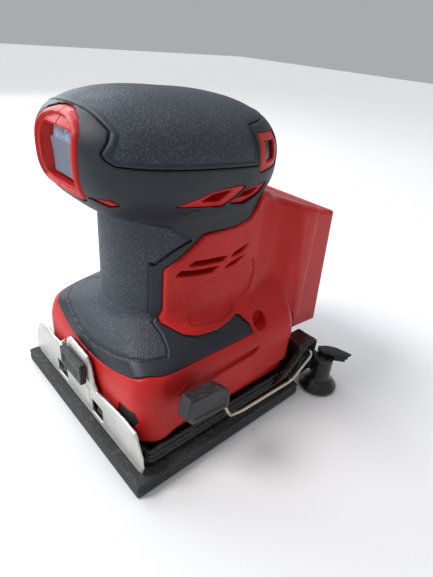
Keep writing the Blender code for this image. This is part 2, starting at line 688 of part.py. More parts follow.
def supports(finishes):
    made = {}
    places = ((27.5, 32.0), (27.5, -32.0), (-35.0, 32.0), (-35.0, -32.0))
    for k, (x, y) in enumerate(places):
        post = loft("post", [[(a, b, z) for a, b in circle(r, 16, (x, y))]
                             for r, z in ((5.2, DECK_TOP + GAP), (5.2, 17.0), (3.8, 21.0), (3.8, 34.0),
                                          (5.2, MOTOR_PLATE[0] - GAP))])
        made[f"pad_support_{k + 1}"] = publish(post, f"pad_support_{k + 1}", finishes["rubber"])
    outer = rounded_rectangle(BASE_REAR + 5.2, BASE_FRONT - 5.2, BASE_SIDE - 5.2, BASE_CORNER - 1.6, 3)
    inner = rounded_rectangle(BASE_REAR + 6.6, BASE_FRONT - 6.6, BASE_SIDE - 6.6, BASE_CORNER - 3.0, 3)
    seal = cut(prism("seal", outer, DECK_TOP + GAP, 22.0), prism("gap", inner, 0.0, 40.0))
    made["skirt_seal"] = publish(seal, "skirt_seal", finishes["rubber"])
    return made


def main():
    clear_scene()
    finishes = {
        "red": material("red_plastic", (0.55, 0.035, 0.03), 0.38),
        "grip": material("black_elastomer", (0.035, 0.038, 0.043), 0.75),
        "black": material("black_rubber", (0.02, 0.02, 0.021), 0.6),
        "gloss": material("black_plastic", (0.012, 0.012, 0.013), 0.25),
        "foam": material("pad_foam", (0.025, 0.026, 0.028), 0.85),
        "rubber": material("support_rubber", (0.03, 0.03, 0.03), 0.8),
        "nylon": material("dark_nylon", (0.05, 0.05, 0.055), 0.5),
        "rocker": material("grey_rocker", (0.16, 0.18, 0.2), 0.55),
        "zinc": material("zinc_plate", (0.62, 0.63, 0.6), 0.38, 0.8),
        "steel": material("bright_steel", (0.6, 0.59, 0.55), 0.3, 1.0),
        "alloy": material("cast_alloy", (0.5, 0.51, 0.52), 0.45, 1.0),
        "copper": material("winding_pack", (0.45, 0.22, 0.1), 0.45, 0.7),
        "brass": material("brass_contact", (0.75, 0.56, 0.25), 0.3, 1.0),
        "board": material("circuit_board", (0.03, 0.12, 0.06), 0.5),
    }
    whole = housing_whole()
    housing_half(1, whole, finishes["red"])
    housing_half(-1, whole, finishes["red"])
    bpy.data.objects.remove(whole)
    apron_skin(finishes["grip"])
    column_skin(finishes["grip"])
    collar(finishes["grip"])
    grip_skin(True, finishes["grip"])
    grip_skin(False, finishes["grip"])
    rocker, _ = switch_parts(finishes)
    electrics(finishes)
    drive_seats(finishes)
    supports(finishes)

    spinning = drive_parts(finishes)
    spin = pivot("motor_axis", (0, 0, 0), spinning.values())
    carried = {**pad_parts(finishes), **duct_parts(finishes)}
    pad = pivot("pad_axis", (-ORBIT, 0, 0), carried.values(), spin)
    pivot("front_clamp_slide", (CLAMP_FACE, 0, 8), [front_plate(finishes)], pad)
    pivot("front_lever_axis", FRONT_LEVER_PIVOT, front_lever(finishes), pad)
    pivot("rear_clamp_slide", (-53.3, 0, 8), [rear_plate(finishes)], pad)
    pivot("rear_lever_axis", REAR_LEVER_PIVOT, rear_lever(finishes), pad)
    pivot("rocker_axis", ROCKER_PIVOT, [rocker])


main()
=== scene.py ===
"""Looks of a cordless palm sander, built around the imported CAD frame.

Each shell, skin and lever is a field: a function of x, y, z in millimetres that is negative
inside the piece. surface() turns a field into a mesh, so that rounded edges, grooves, slots and
fillets are all real geometry. A piece stands for a CAD node and rides on that node's body. The few
pieces in EXTRAS have no CAD node: they ride on the housing. CAD nodes that no piece stands for
show their own shapes.
"""

import json
import math
from itertools import product

import bpy
import numpy as np
from mathutils import Matrix, Vector

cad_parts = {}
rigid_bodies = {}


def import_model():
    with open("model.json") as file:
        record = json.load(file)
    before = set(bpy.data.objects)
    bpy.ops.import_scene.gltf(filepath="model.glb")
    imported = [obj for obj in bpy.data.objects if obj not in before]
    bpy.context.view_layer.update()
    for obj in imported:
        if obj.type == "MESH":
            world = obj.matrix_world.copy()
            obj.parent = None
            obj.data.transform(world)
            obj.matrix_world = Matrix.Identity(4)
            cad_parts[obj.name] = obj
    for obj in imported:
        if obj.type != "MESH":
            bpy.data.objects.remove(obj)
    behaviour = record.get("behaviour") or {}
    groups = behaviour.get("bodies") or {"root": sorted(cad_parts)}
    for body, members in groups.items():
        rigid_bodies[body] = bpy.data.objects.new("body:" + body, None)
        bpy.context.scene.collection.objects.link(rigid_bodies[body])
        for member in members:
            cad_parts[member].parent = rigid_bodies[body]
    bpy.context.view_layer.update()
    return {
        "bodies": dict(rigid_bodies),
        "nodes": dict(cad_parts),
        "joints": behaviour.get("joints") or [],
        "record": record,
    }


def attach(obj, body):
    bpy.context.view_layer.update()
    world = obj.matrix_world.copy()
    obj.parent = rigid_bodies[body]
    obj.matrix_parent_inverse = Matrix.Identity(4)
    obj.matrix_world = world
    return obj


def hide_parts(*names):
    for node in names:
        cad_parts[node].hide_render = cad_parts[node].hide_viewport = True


MM = 0.001

# ---- sizes, mm: +X is the switch end, +Y the tool's left, Z = 0 the pad's lower face ----
BASE_FRONT, BASE_REAR, BASE_SIDE, BASE_BOTTOM = 43.6, -51.0, 48.0, 15.6
BASE_CORNER, REAR_CORNER, WIDEST_CORNER, SHOULDER = 12.5, 7.0, 46.0, 7.0
SLOPE_START, SLOPE_RATE, CORNER_GROWTH = 44.9, 0.96, 2.1
SEAM_FRONT, SEAM_TOP, SEAM_RISE = 39.0, 47.8, 0.0055
COLUMN_RADIUS, COLLAR_RADIUS, PANEL_RADIUS = 30.4, 31.2, 32.4
COLUMN_TOP, WRAP_FOOT = 112.0, 58.0
ROUND_FROM = 4.0  # in front of this x the collar and the panel are round; behind it they draw out
SKIN, UNDER_SKIN, WALL, SEAM, LABEL_DEPTH = 2.0, 0.3, 2.4, 0.12, 0.9
GRIP_HALF_WIDTH, GRIP_MIDDLE = 38.0, -1.4
GRIP_REACH_FRONT, GRIP_REACH_REAR = 51.5, 46.6
GRIP_LEVEL, GRIP_TILT, GRIP_NOSE_TILT = 126.4, 0.04, 0.06
GRIP_RISE, GRIP_DROP = 24.3, 26.4
GRIP_SECTION = 2.31
FOOT_HALF_WIDTH = 39.0
BEZEL_ROUND, BEZEL_BACK = 3.0, 34.0
PAD_HALF_LENGTH, PAD_HALF_WIDTH, PAD_TOP, PAD_CENTRE = 52.0, 56.0, 7.2, -0.8
CLAMP_FACE, SHEET = 47.3, 1.0
REAR_PIVOT = (-60.5, 24.3)  # x, z
WIRE_RADIUS, WIRE_BEND = 0.85, 3.0
NOZZLE = (-67.6, 58.6)  # x, y
NOZZLE_RADIUS, NOZZLE_BORE, NOZZLE_TOP, NOZZLE_GAP = 5.5, 3.8, 20.5, 0.2
CONTACT_PLACES = (-12.0, -4.0, 4.0, 12.0)

# ---- outlines, seen from the side as (x, z), from the front as (y, z) or from above as (x, y) ----
TEXTURED_TOP = ((41.3, 165.0), (41.3, 143.0), (40.7, 140.5), (42.0, 138.0), (44.4, 134.3),
                (43.6, 132.4), (41.6, 130.9), (31.8, 130.2), (-16.6, 126.9), (-15.4, 141.0),
                (-60.0, 143.5), (-60.0, 165.0))
BEZEL_OUTLINE = ((13.4, 119.0), (13.4, 134.0), (12.6, 137.4), (10.0, 139.8), (5.0, 141.4),
                 (0.0, 141.7))
PANEL_OUTLINE = ((18.8, 56.0), (18.8, 85.2), (3.6, 100.0), (-12.0, 100.4), (-20.5, 102.4),
                 (-25.0, 107.3), (-29.0, 116.0), (-62.0, 116.0), (-62.0, 40.0), (-15.0, 60.0))
FLARE_OUTLINE = ((19.8, 60.0), (15.3, 57.4), (9.6, 56.2), (-0.5, 55.4), (-8.2, 56.2), (-15.5, 58.0),
                 (-15.5, 72.0), (19.8, 72.0))
HUMP_OUTLINE = ((-13.5, 60.5), (-20.2, 52.4), (-21.5, 46.0), (-27.0, 36.0), (-60.0, 36.0),
                (-60.0, 75.0), (-13.5, 75.0))
APRON_TEXTURED = ((10.0, 19.0), (22.8, 23.0), (22.6, 29.8), (24.0, 36.0), (25.8, 38.4),
                  (28.6, 37.2), (33.5, 34.6), (37.8, 28.7), (39.6, 20.8), (40.6, 10.7), (41.4, 0.0))
COLUMN_TEXTURED = ((20.4, 50.0), (20.4, 87.5), (21.9, 86.6), (29.6, 98.0), (27.6, 101.4),
                   (25.9, 104.1), (23.2, 104.5), (16.2, 105.4), (0.0, 105.9))
PLATE_OUTLINE = ((-54.0, 8.0), (51.5, 8.0), (52.5, 12.0), (52.0, 17.5), (49.5, 22.5),
                 (45.0, 26.2), (36.0, 26.6), (29.0, 26.0), (13.5, 24.6), (10.4, 27.6), (8.4, 36.0),
                 (5.6, 40.2), (-11.0, 41.2), (-14.4, 38.6), (-15.0, 33.6), (-18.0, 31.4),
                 (-22.0, 29.6), (-31.0, 28.8), (-38.0, 30.6), (-47.0, 29.0), (-51.0, 25.4),
                 (-54.0, 14.0))
PLATE_WINDOWS = ((-27.0, -16.0), (9.5, 19.5))  # from y to y
REAR_PLATE_SECTION = ((-51.6, 7.6), (-51.6, 8.8), (-52.8, 9.4), (-52.8, 20.0), (-53.8, 20.0),
                      (-53.8, 7.6))
REAR_TIP_FACE = ((8.2, 31.0), (29.2, 33.4), (32.6, 38.0), (30.6, 47.2), (15.5, 46.4), (8.6, 40.0))
ROCKER_SECTION = ((41.0, 138.0), (44.7, 137.8), (45.2, 133.8), (46.5, 133.2), (46.3, 132.0),
                  (45.8, 126.0), (45.7, 121.2), (44.9, 120.5), (42.5, 120.4))
DUCT_SIDE = ((-36.0, 12.9), (-49.0, 22.0), (-54.5, 29.0), (-65.4, 30.0), (-66.8, 28.8),
             (-66.8, 9.6), (-52.8, 9.6), (-52.8, 12.9))
DUCT_RIB = ((-50.0, 14.0), (-55.0, 22.0), (-64.0, 22.6), (-64.0, 21.0), (-56.0, 20.4),
            (-51.6, 13.2))
NOZZLE_PROFILE = ((0.0, 1.0), (10.5, 1.0), (10.6, 2.2), (8.4, 5.0), (6.0, 7.4),
                  (NOZZLE_RADIUS, 9.6), (NOZZLE_RADIUS, NOZZLE_TOP), (0.0, NOZZLE_TOP))
FLANGE_RIM = ((-67.2, 54.0), (-69.8, 52.6), (-74.4, 55.6), (-77.2, 59.6), (-79.3, 68.6),
              (-75.9, 68.2), (-69.6, 61.2), (-67.2, 57.6))
RAIL_SECTION = ((-76.5, 88.0), (-79.4, 87.6), (-81.6, 41.4), (-79.2, 41.4))
FOOT_OUTLINE = ((-50.0, 103.5), (-77.0, 97.5), (-82.0, 29.0), (-59.0, 31.0))
FOOT_CAVITY = ((-55.0, 97.0), (-74.6, 92.5), (-79.0, 35.0), (-61.5, 36.5))
FOOT_MOUTH = ((-71.0, 91.0), (-90.0, 88.0), (-92.0, 38.0), (-74.5, 39.0))
SIDE_VENTS = (((10.3, 87.0), (7.9, 88.9), (-9.3, 87.8), (-6.6, 85.8)),
              ((-11.0, 86.6), (-13.3, 88.4), (-21.2, 91.0), (-16.9, 87.3)),
              ((15.1, 82.8), (13.3, 85.0), (-4.9, 83.9), (-1.2, 81.8)),
              ((-7.9, 81.8), (-11.0, 83.7), (-19.4, 85.8), (-14.1, 82.5)))
LABEL_OUTLINE = ((10.2, 72.8), (10.2, 59.4), (-5.0, 57.8), (-16.0, 59.8), (-26.1, 66.4),
                 (-28.9, 75.0), (-26.1, 82.1), (3.0, 77.2))
SIDE_GROOVE = ((25.4, 37.6), (20.7, 41.4), (-24.5, 40.6), (-19.1, 37.9), (16.5, 36.4))
SCREW = (-26.6, 52.0, 4.2)  # x, z, radius
FRONT_NOTCH = ((27.0, 21.5), (28.5, 29.0), (39.8, 31.0), (41.2, 26.0), (37.5, 19.5))
WINDOW_FRAME = ((-18.4, 138.3), (-33.0, 137.6), (-37.0, 131.0), (-33.0, 124.4), (-18.6, 123.7))
WINDOW_PANE = ((-22.2, 135.1), (-31.2, 134.4), (-30.6, 127.2), (-23.0, 126.9))
FLANK_STRIPS = (((21.2, 115.2), (6.3, 119.8), (-7.3, 120.5), (-11.4, 119.6), (-2.4, 111.5)),
                ((-6.0, 112.2), (-11.6, 118.0), (-26.0, 118.6), (-22.5, 114.2), (-14.5, 110.6)))
FLANK_SLOTS = (((10.1, 115.8), (5.9, 118.6), (-4.1, 119.0), (0.7, 114.6)),
               ((-7.4, 114.4), (-10.2, 116.9), (-21.0, 117.5), (-17.5, 114.2)))
NOSE_STRIP = ((46.0, 118.4), (41.8, 119.0), (38.6, 116.9), (41.0, 115.8))

# ---- studio ----
FLOOR_HALF = 3000.0  # mm
SKY_COLOUR, SKY_STRENGTH = (0.95, 0.97, 1.0, 1.0), 0.42
KEY_FROM, KEY_POWER, KEY_SPREAD = (0.50, -0.32, 0.60), 2.2, 24.0
CAMERA_PLACE = (0.1117, 0.1510, 0.1704)  # m
# the camera's right, up and back
CAMERA_AXES = ((-0.7446, 0.6622, 0.0841), (-0.2844, -0.4287, 0.8576), (0.6039, 0.6146, 0.5075))
SENSOR_MM, FOCAL_MM, NEAR_CLIP = 36.0, 27.03, 0.01


# ---------------------------------------------------------------- fields


def length(*parts):
    return np.sqrt(sum(p * p for p in parts))


def join(a, b, radius=0.0):
    """Union, with a fillet of that radius where the two meet."""
    if not radius:
        return np.minimum(a, b)
    fillet = length(np.maximum(radius - a, 0), np.maximum(radius - b, 0))
    return np.maximum(radius, np.minimum(a, b)) - fillet


def keep(a, b, radius=0.0):
    """Intersection, with its edge rounded to that radius."""
    return -join(-a, -b, radius)


def cut(a, b, radius=0.0):
    """The first form without the second, with the edge of the cut rounded to that radius."""
    return -join(-a, b, radius)


def outline(u, v, points):
    """Distance from (u, v) to a closed outline, negative inside."""
    nearest = np.full(u.shape, np.inf)
    inside = np.zeros(u.shape, bool)
    for (au, av), (bu, bv) in zip(points, (*points[1:], points[0])):
        eu, ev = bu - au, bv - av
        pu, pv = u - au, v - av
        share = np.clip((pu * eu + pv * ev) / (eu * eu + ev * ev), 0, 1)
        nearest = np.minimum(nearest, (pu - share * eu) ** 2 + (pv - share * ev) ** 2)
        if ev:
            inside ^= ((av > v) != (bv > v)) & (u < au + pv * eu / ev)
    return np.where(inside, -1, 1) * np.sqrt(nearest)


def mirrored(half):
    """The outline with its mirror image across the first coordinate's zero."""
    return (*half, *((-u, v) for u, v in reversed(half) if u))


def mirrored_y(half):
    """The outline with its mirror image across the second coordinate's zero."""
    return (*half, *((u, -v) for u, v in reversed(half) if v))


def between(value, low, high):
    """Distance to the nearer of two bounds, negative between them."""
    return np.abs(value - (low + high) / 2) - (high - low) / 2


def block(x, y, z, low, high, radius=0.0):
    """A box from corner to corner with its edges rounded."""
    out = [between(c, a, b) + radius for c, a, b in zip((x, y, z), low, high)]
    return length(*(np.maximum(o, 0) for o in out)) + np.minimum(np.maximum.reduce(out), 0) - radius


def rounded_rectangle(x, y, x0, x1, half, radius):
    u = between(x, x0, x1) + radius
    v = np.abs(y) - half + radius
    return length(np.maximum(u, 0), np.maximum(v, 0)) + np.minimum(np.maximum(u, v), 0) - radius


def smooth(value, start, end):
    """0 before start, 1 after end, and a soft step between them."""
    t = np.clip((value - start) / (end - start), 0, 1)
    return t * t * (3 - 2 * t)


def curve(value, points, steps=8):
    """A soft line through points, as a function of the first coordinate."""
    p = np.array(sorted(points), float)
    ends = np.vstack([2 * p[0] - p[1], p, 2 * p[-1] - p[-2]])
    t = np.linspace(0, 1, steps, endpoint=False)[:, None]
    line = [0.5 * (2 * b + (c - a) * t + (2 * a - 5 * b + 4 * c - d) * t**2
                   + (3 * b - a - 3 * c + d) * t**3)
            for a, b, c, d in zip(ends, ends[1:], ends[2:], ends[3:])]
    line = np.vstack([*line, p[-1:]])
    return np.interp(value, line[:, 0], line[:, 1])


# ---------------------------------------------------------------- forms shared by several pieces


def grip_form(x, y, z):
    """Super-ellipsoid palm grip. Its powers differ between plan, profile and cross-section."""
    front = x > GRIP_MIDDLE
    reach = np.where(front, GRIP_REACH_FRONT, GRIP_REACH_REAR)
    plan, profile = np.where(front, 3.1, 2.5), np.where(front, 2.6, 2.65)
    h = z - GRIP_LEVEL - x * np.where(x > 0, GRIP_NOSE_TILT, GRIP_TILT)
    rise = np.where(h > 0, GRIP_RISE, GRIP_DROP)
    u = (np.abs(x - GRIP_MIDDLE) / reach) ** plan
    v = (np.abs(y) / GRIP_HALF_WIDTH) ** plan
    power = GRIP_SECTION + (profile - GRIP_SECTION) * u / (u + v + 1e-9)
    size = ((u + v) ** (power / plan) + (np.abs(h) / rise) ** power) ** (1 / power)
    slope = length((x - GRIP_MIDDLE) / reach**2, y / GRIP_HALF_WIDTH**2, h / rise**2)
    return (size - 1) * size / (slope + 1e-6)


def shell_form(x, y, z):
    """The lower body: upright walls, a round shoulder, and a slope whose corners widen upward."""
    inset = SLOPE_RATE * (z - SLOPE_START)
    upright = np.where(x > 0.0, BASE_CORNER, REAR_CORNER)
    corner = np.clip(BASE_CORNER + CORNER_GROWTH * inset, upright, WIDEST_CORNER)
    wall = rounded_rectangle(x, y, BASE_REAR, BASE_FRONT, BASE_SIDE, upright)
    slope = rounded_rectangle(x, y, BASE_REAR, BASE_FRONT, BASE_SIDE, corner) + inset
    return keep(wall, slope / math.hypot(1, SLOPE_RATE), SHOULDER)


def shell_seam(y):
    """Height of the line between the red wall and the black apron, lowest in the middle."""
    return np.minimum(SEAM_TOP, SEAM_FRONT + SEAM_RISE * y * y)


def column_form(x, y):
    return length(x, y) - COLUMN_RADIUS


def stem_half(x):
    """Half width of the collar, which is drawn out to the rear under the grip."""
    round_part = np.sqrt(np.maximum(COLLAR_RADIUS**2 - x * x, 0.0))
    rear = curve(x, ((ROUND_FROM, 31.0), (0.0, 31.5), (-12.0, 32.4), (-22.0, 32.4), (-29.0, 29.0),
                     (-34.0, 20.0)))
    return np.where(x > ROUND_FROM, round_part, rear)


def collar_form(x, y):
    front = length(x, y) - COLLAR_RADIUS
    rear = keep((np.abs(y) - stem_half(x)) * 0.95, -34.0 - x, 3.0)
    return np.where(x > ROUND_FROM, front, rear)


def neck_form(x, y, z):
    """The red side panel, which runs back into the neck and spreads into the foot."""
    half = curve(x, ((ROUND_FROM, 32.2), (-6.0, 32.8), (-16.0, 33.2), (-26.0, 33.2), (-33.0, 31.7),
                     (-39.5, 30.8), (-45.0, 31.8), (-51.0, 37.0), (-58.0, FOOT_HALF_WIDTH)))
    side = np.where(x > ROUND_FROM, length(x, y) - PANEL_RADIUS, (np.abs(y) - half) * 0.9)
    crest = curve(x, ((20.0, 112.0), (-27.6, 112.4), (-42.0, 107.5), (-60.0, 102.4)))
    return keep(side, z - crest, 3.0)


def hump_form(x, y, z):
    """The rear of the lower body, whose sides lean in above the wall."""
    lean = (np.abs(y) - BASE_SIDE + 0.72 * (z - 44.0)) * 0.81
    side = keep(rounded_rectangle(x, y, BASE_REAR, 80.0, BASE_SIDE, 6.0), lean, 4.0)
    return keep(keep(side, outline(x, z, HUMP_OUTLINE), 0.8), z - 72.0)


def foot_form(x, y, z):
    return keep(outline(x, z, FOOT_OUTLINE), np.abs(y) - FOOT_HALF_WIDTH, 2.2)


def bezel_region(y, z):
    return outline(y, z, mirrored(BEZEL_OUTLINE)) - BEZEL_ROUND


def any_of(x, z, shapes):
    """Distance to the nearest of several outlines."""
    return np.minimum.reduce([outline(x, z, shape) for shape in shapes])


# ---------------------------------------------------------------- pieces: housing and skins


def panel_form(x, y, z):
    """Side panel, neck and hump: what stands proud of the lower body and the column."""
    side = keep(neck_form(x, y, z), outline(x, z, PANEL_OUTLINE), 0.9)
    flare = keep(shell_form(x, y, z) - 1.5, outline(x, z, FLARE_OUTLINE), 0.9)
    panel = join(side, flare, 2.5)
    label = keep(outline(x, z, LABEL_OUTLINE), -LABEL_DEPTH - panel)
    return cut(panel, label, 0.3)


def bezel_form(x, y, z):
    """The thick red frame round the switch, at the grip's front."""
    region = bezel_region(y, z)
    frame = keep(grip_form(x, y, z) - 0.4 + 0.9 * smooth(-region, 1.8, 3.0), region, 1.2)
    return keep(frame, BEZEL_BACK - x)


def pocket_form(x, y, z):
    """The recess behind the rocker, a little wider at its mouth."""
    spread = 1.0 + 0.05 * np.clip(x - 43.0, 0.0, 5.0)
    return block(x, y / spread, z, (40.4, -9.6, 119.6), (70.0, 9.6, 138.5), 1.2)


def bezel(x, y, z):
    """Frame and recess of the switch, with the parting line of the two shells down its middle."""
    grip, pocket = grip_form(x, y, z), pocket_form(x, y, z)
    frame = keep(bezel_form(x, y, z), -grip - 3.2)
    frame = join(frame, keep(keep(grip + 1.2, pocket - WALL + 0.1), 38.0 - x), 0.3)
    frame = cut(frame, pocket, 0.6)
    line = keep(np.abs(y) - SEAM, -bezel_form(x, y, z) - 0.35)
    return cut(frame, line)


def housing_form(x, y, z):
    """Both shells as one solid: the wall, the core under the skins, the grip, and the rear."""
    side = np.abs(y)
    shell, grip = shell_form(x, y, z), grip_form(x, y, z)
    at_side = smooth(side, 38.0, 46.0)
    bottom = BASE_BOTTOM + at_side * (4.0 * smooth(-x, -38.0, -22.0) + 3.0 * smooth(-x, 5.0, 46.0))
    top = shell_seam(y) + 12.0 * smooth(-x, 21.5, 23.5)
    wall = keep(keep(shell, z - top + SEAM, 0.6), bottom - z, 0.8)
    groove_floor = np.maximum(BASE_SIDE - 4.3, BASE_SIDE - 1.0 - 1.3 * (z - 36.4))
    groove = keep(outline(x, z, SIDE_GROOVE), groove_floor - side)
    wall = cut(wall, groove, 0.5)
    notch = keep(outline(side, z, FRONT_NOTCH), 39.5 - x)
    wall = cut(wall, keep(notch, -y), 0.4)
    core = keep(shell + SKIN + UNDER_SKIN, BASE_BOTTOM - z)
    core = join(core, length(x, y) - COLUMN_RADIUS + SKIN + UNDER_SKIN)
    core = keep(core, z - COLUMN_TOP)
    stem = keep(collar_form(x, y) + SKIN + UNDER_SKIN, between(z, 80.0, 118.0))
    core = join(core, stem)
    strips = any_of(x, z, FLANK_STRIPS)
    strips = join(strips, outline(x, z, NOSE_STRIP))
    proud = keep(grip + UNDER_SKIN, join(strips, outline(x, z, WINDOW_FRAME)) + 0.15, 0.4)
    inner_grip = join(grip + SKIN + UNDER_SKIN, proud)
    out = join(join(wall, core), inner_grip)
    rear = join(hump_form(x, y, z), foot_form(x, y, z))
    rear = join(rear, panel_form(x, y, z), 1.6)
    screw = keep(length(x - SCREW[0], z - SCREW[1]) - SCREW[2], 37.6 - side)
    return cut(join(out, keep(rear, bottom - z), 1.2), screw, 0.6)


def cavity_form(x, y, z):
    """The space inside the housing, open below."""
    inset = SKIN + WALL + UNDER_SKIN
    room = join(shell_form(x, y, z) + inset, grip_form(x, y, z) + inset)
    column = length(x, y) - COLUMN_RADIUS + SKIN + WALL
    room = join(room, keep(column, between(z, 50.0, COLUMN_TOP)))
    room = join(room, block(x, y, z, (-58, -27, 62), (-8, 27, 96), 3.0))
    return join(room, keep(outline(x, z, FOOT_CAVITY), np.abs(y) - 34.0, 1.5))


def housing(x, y, z):
    """The hollow housing, with the foot's mouth, the vents and the openings of the grip."""
    side = np.abs(y)
    grip = grip_form(x, y, z)
    boss = keep(length(x - SCREW[0], z - SCREW[1]) - SCREW[2] - 1.8, 33.0 - side)
    whole = cut(housing_form(x, y, z), cut(cavity_form(x, y, z), boss))
    whole = cut(whole, pocket_form(x, y, z) - WALL)
    mouth = keep(outline(x, z, FOOT_MOUTH), side - 28.0, 2.0)
    whole = cut(whole, mouth, 0.7)
    vents = keep(any_of(x, z, SIDE_VENTS) - 0.1, 22.0 - side)
    slots = keep(any_of(x, z, FLANK_SLOTS), -grip - 4.0)
    pane = keep(outline(x, z, WINDOW_PANE), -grip - 2.6)
    return cut(cut(cut(whole, vents, 0.4), slots, 0.5), pane, 0.3)


def half_of(side):
    return lambda x, y, z: keep(housing(x, y, z), SEAM - side * y)


def apron(x, y, z):
    """Soft skin over the lower body's slope, with a fillet up to the column."""
    shell = join(shell_form(x, y, z), column_form(x, y), 3.0)
    skin = keep(shell, shell_seam(y) + SEAM - z, 0.5)
    groove = keep(np.abs(outline(x, y, mirrored_y(APRON_TEXTURED))) - 0.36, -shell - 0.55)
    skin = cut(skin, groove, 0.3)
    skin = keep(skin, -shell_form(x, y, z) - SKIN)
    skin = keep(skin, z - 62.5)
    skin = keep(skin, shell - column_form(x, y) + 0.2, 0.15)
    skin = cut(skin, column_form(x, y) + 0.5)
    red = join(panel_form(x, y, z), hump_form(x, y, z))
    return cut(skin, red - 0.25, 0.3)


def apron_grain(x, y, z):
    return smooth(-outline(x, y, mirrored_y(APRON_TEXTURED)), 0.3, 1.1)


def column_wrap(x, y, z):
    skin = keep(column_form(x, y), outline(y, z, mirrored(COLUMN_TEXTURED)) + SEAM, 0.45)
    skin = keep(keep(skin, -column_form(x, y) - SKIN), -x)
    return cut(keep(skin, WRAP_FOOT - z), shell_form(x, y, z) + 1.0)


def column_grain(x, y, z):
    return smooth(-outline(y, z, mirrored(COLUMN_TEXTURED)), 0.4, 1.4)


def collar(x, y, z):
    """Smooth black collar under the grip, with a strip down each side of the column."""
    form = collar_form(x, y)
    grip = grip_form(x, y, z)
    textured = keep(outline(y, z, mirrored(COLUMN_TEXTURED)), -x)
    fillet = join(form, grip, 3.4)
    wrap = keep(fillet, fillet - grip + 0.2, 0.15)
    wrap = keep(wrap, -textured + SEAM, 0.45)
    wrap = keep(keep(wrap, -form - SKIN), WRAP_FOOT - z)
    wrap = cut(cut(wrap, shell_form(x, y, z) + 1.0), grip + 0.5)
    wrap = cut(wrap, any_of(x, z, FLANK_STRIPS) - 0.1, 0.2)
    wrap = cut(wrap, panel_form(x, y, z) - 0.2, 0.3)
    return keep(wrap, -26.0 - x)


def grip_split(x, z):
    return outline(x, z, TEXTURED_TOP)


def grip_top(x, y, z):
    """Textured crown of the grip: a smooth raised rim, and pebbled rubber a little below it."""
    grip, zone = grip_form(x, y, z), grip_split(x, z)
    skin = keep(grip + 0.3 * smooth(-zone, 1.2, 2.2), zone + SEAM, 0.55)
    skin = cut(skin, bezel_region(y, z) - 0.25 + np.maximum(BEZEL_BACK - x, 0.0))
    return keep(skin, -grip - SKIN)


def top_grain(x, y, z):
    return smooth(-grip_split(x, z), 1.4, 2.6)


def side_band(x, y, z):
    """Smooth lower flanks and nose of the grip, with windows where the red housing shows."""
    grip, zone = grip_form(x, y, z), grip_split(x, z)
    skin = keep(grip, SEAM - zone, 0.55)
    skin = cut(skin, bezel_region(y, z) - 0.25 + np.maximum(BEZEL_BACK - x, 0.0), 0.3)
    openings = np.minimum.reduce([any_of(x, z, FLANK_STRIPS), outline(x, z, NOSE_STRIP),
                                  outline(x, z, WINDOW_FRAME)])
    skin = cut(skin, openings, 0.4)
    skin = keep(skin, -grip - SKIN)
    stem = keep(collar_form(x, y) + 1.0, z - 120.0)
    return cut(cut(skin, stem), panel_form(x, y, z) - 0.2)


def rocker(x, y, z):
    """Switch rocker: a pebbled upper pad, a ridge, and a hollowed lower face."""
    return keep(outline(x, z, ROCKER_SECTION), np.abs(y) - 8.4, 0.5)


def rocker_grain(x, y, z):
    return smooth(z, 133.2, 134.0)


def window_pane(x, y, z):
    """Dark pane low in each side window of the grip."""
    return keep(outline(x, z, WINDOW_PANE) - 0.2, np.abs(grip_form(x, y, z) + 2.0) - 0.5, 0.2)


def notch_pad(x, y, z):
    """Grey rubber seen in the notch at the housing's front left corner."""
    slab = keep(outline(np.abs(y), z, FRONT_NOTCH) - 0.3, between(x, 38.0, 43.0), 0.3)
    return keep(slab, shell_form(x, y, z) + 0.7)


# ---------------------------------------------------------------- pieces: pad, clamps and levers


def foam_pad(x, y, z):
    """The square pad, with a fine groove round its edge."""
    low, high = (-PAD_HALF_LENGTH, -PAD_HALF_WIDTH, 0.0), (PAD_HALF_LENGTH, PAD_HALF_WIDTH, PAD_TOP)
    pad = block(x, y, z, low, high, 0.9)
    edge = rounded_rectangle(x, y, -PAD_HALF_LENGTH, PAD_HALF_LENGTH, PAD_HALF_WIDTH, 1.0)
    return cut(pad, length(edge, z - 4.7) - 0.55, 0.3)


def platen(x, y, z):
    """Glossy deck under the housing: a plate, an upstanding lip, ribs and the bearing's boss."""
    edge = rounded_rectangle(x, y, -46.0, 44.6, 51.0, 5.0)
    plate = keep(edge, between(z, 7.5, 11.4), 0.9)
    lip = keep(np.abs(edge + 2.6) - 1.1, between(z, 8.5, 15.0), 0.8)
    inner = keep(np.abs(edge + 10.5) - 1.0, between(z, 8.5, 12.5), 0.6)
    ribs = np.abs((x + 400.0) % 11.0 - 5.5) - 0.7
    ribs = keep(ribs, keep(edge + 3.0, between(z, 8.5, 12.3)), 0.3)
    deck = join(join(join(plate, lip, 1.0), inner, 0.6), ribs, 0.4)
    hub = length(x - PAD_CENTRE, y)
    deck = join(deck, keep(hub - 14.5, between(z, 10.0, 22.4), 0.8), 1.0)
    return cut(deck, keep(hub - 11.3, 12.6 - z), 0.3)


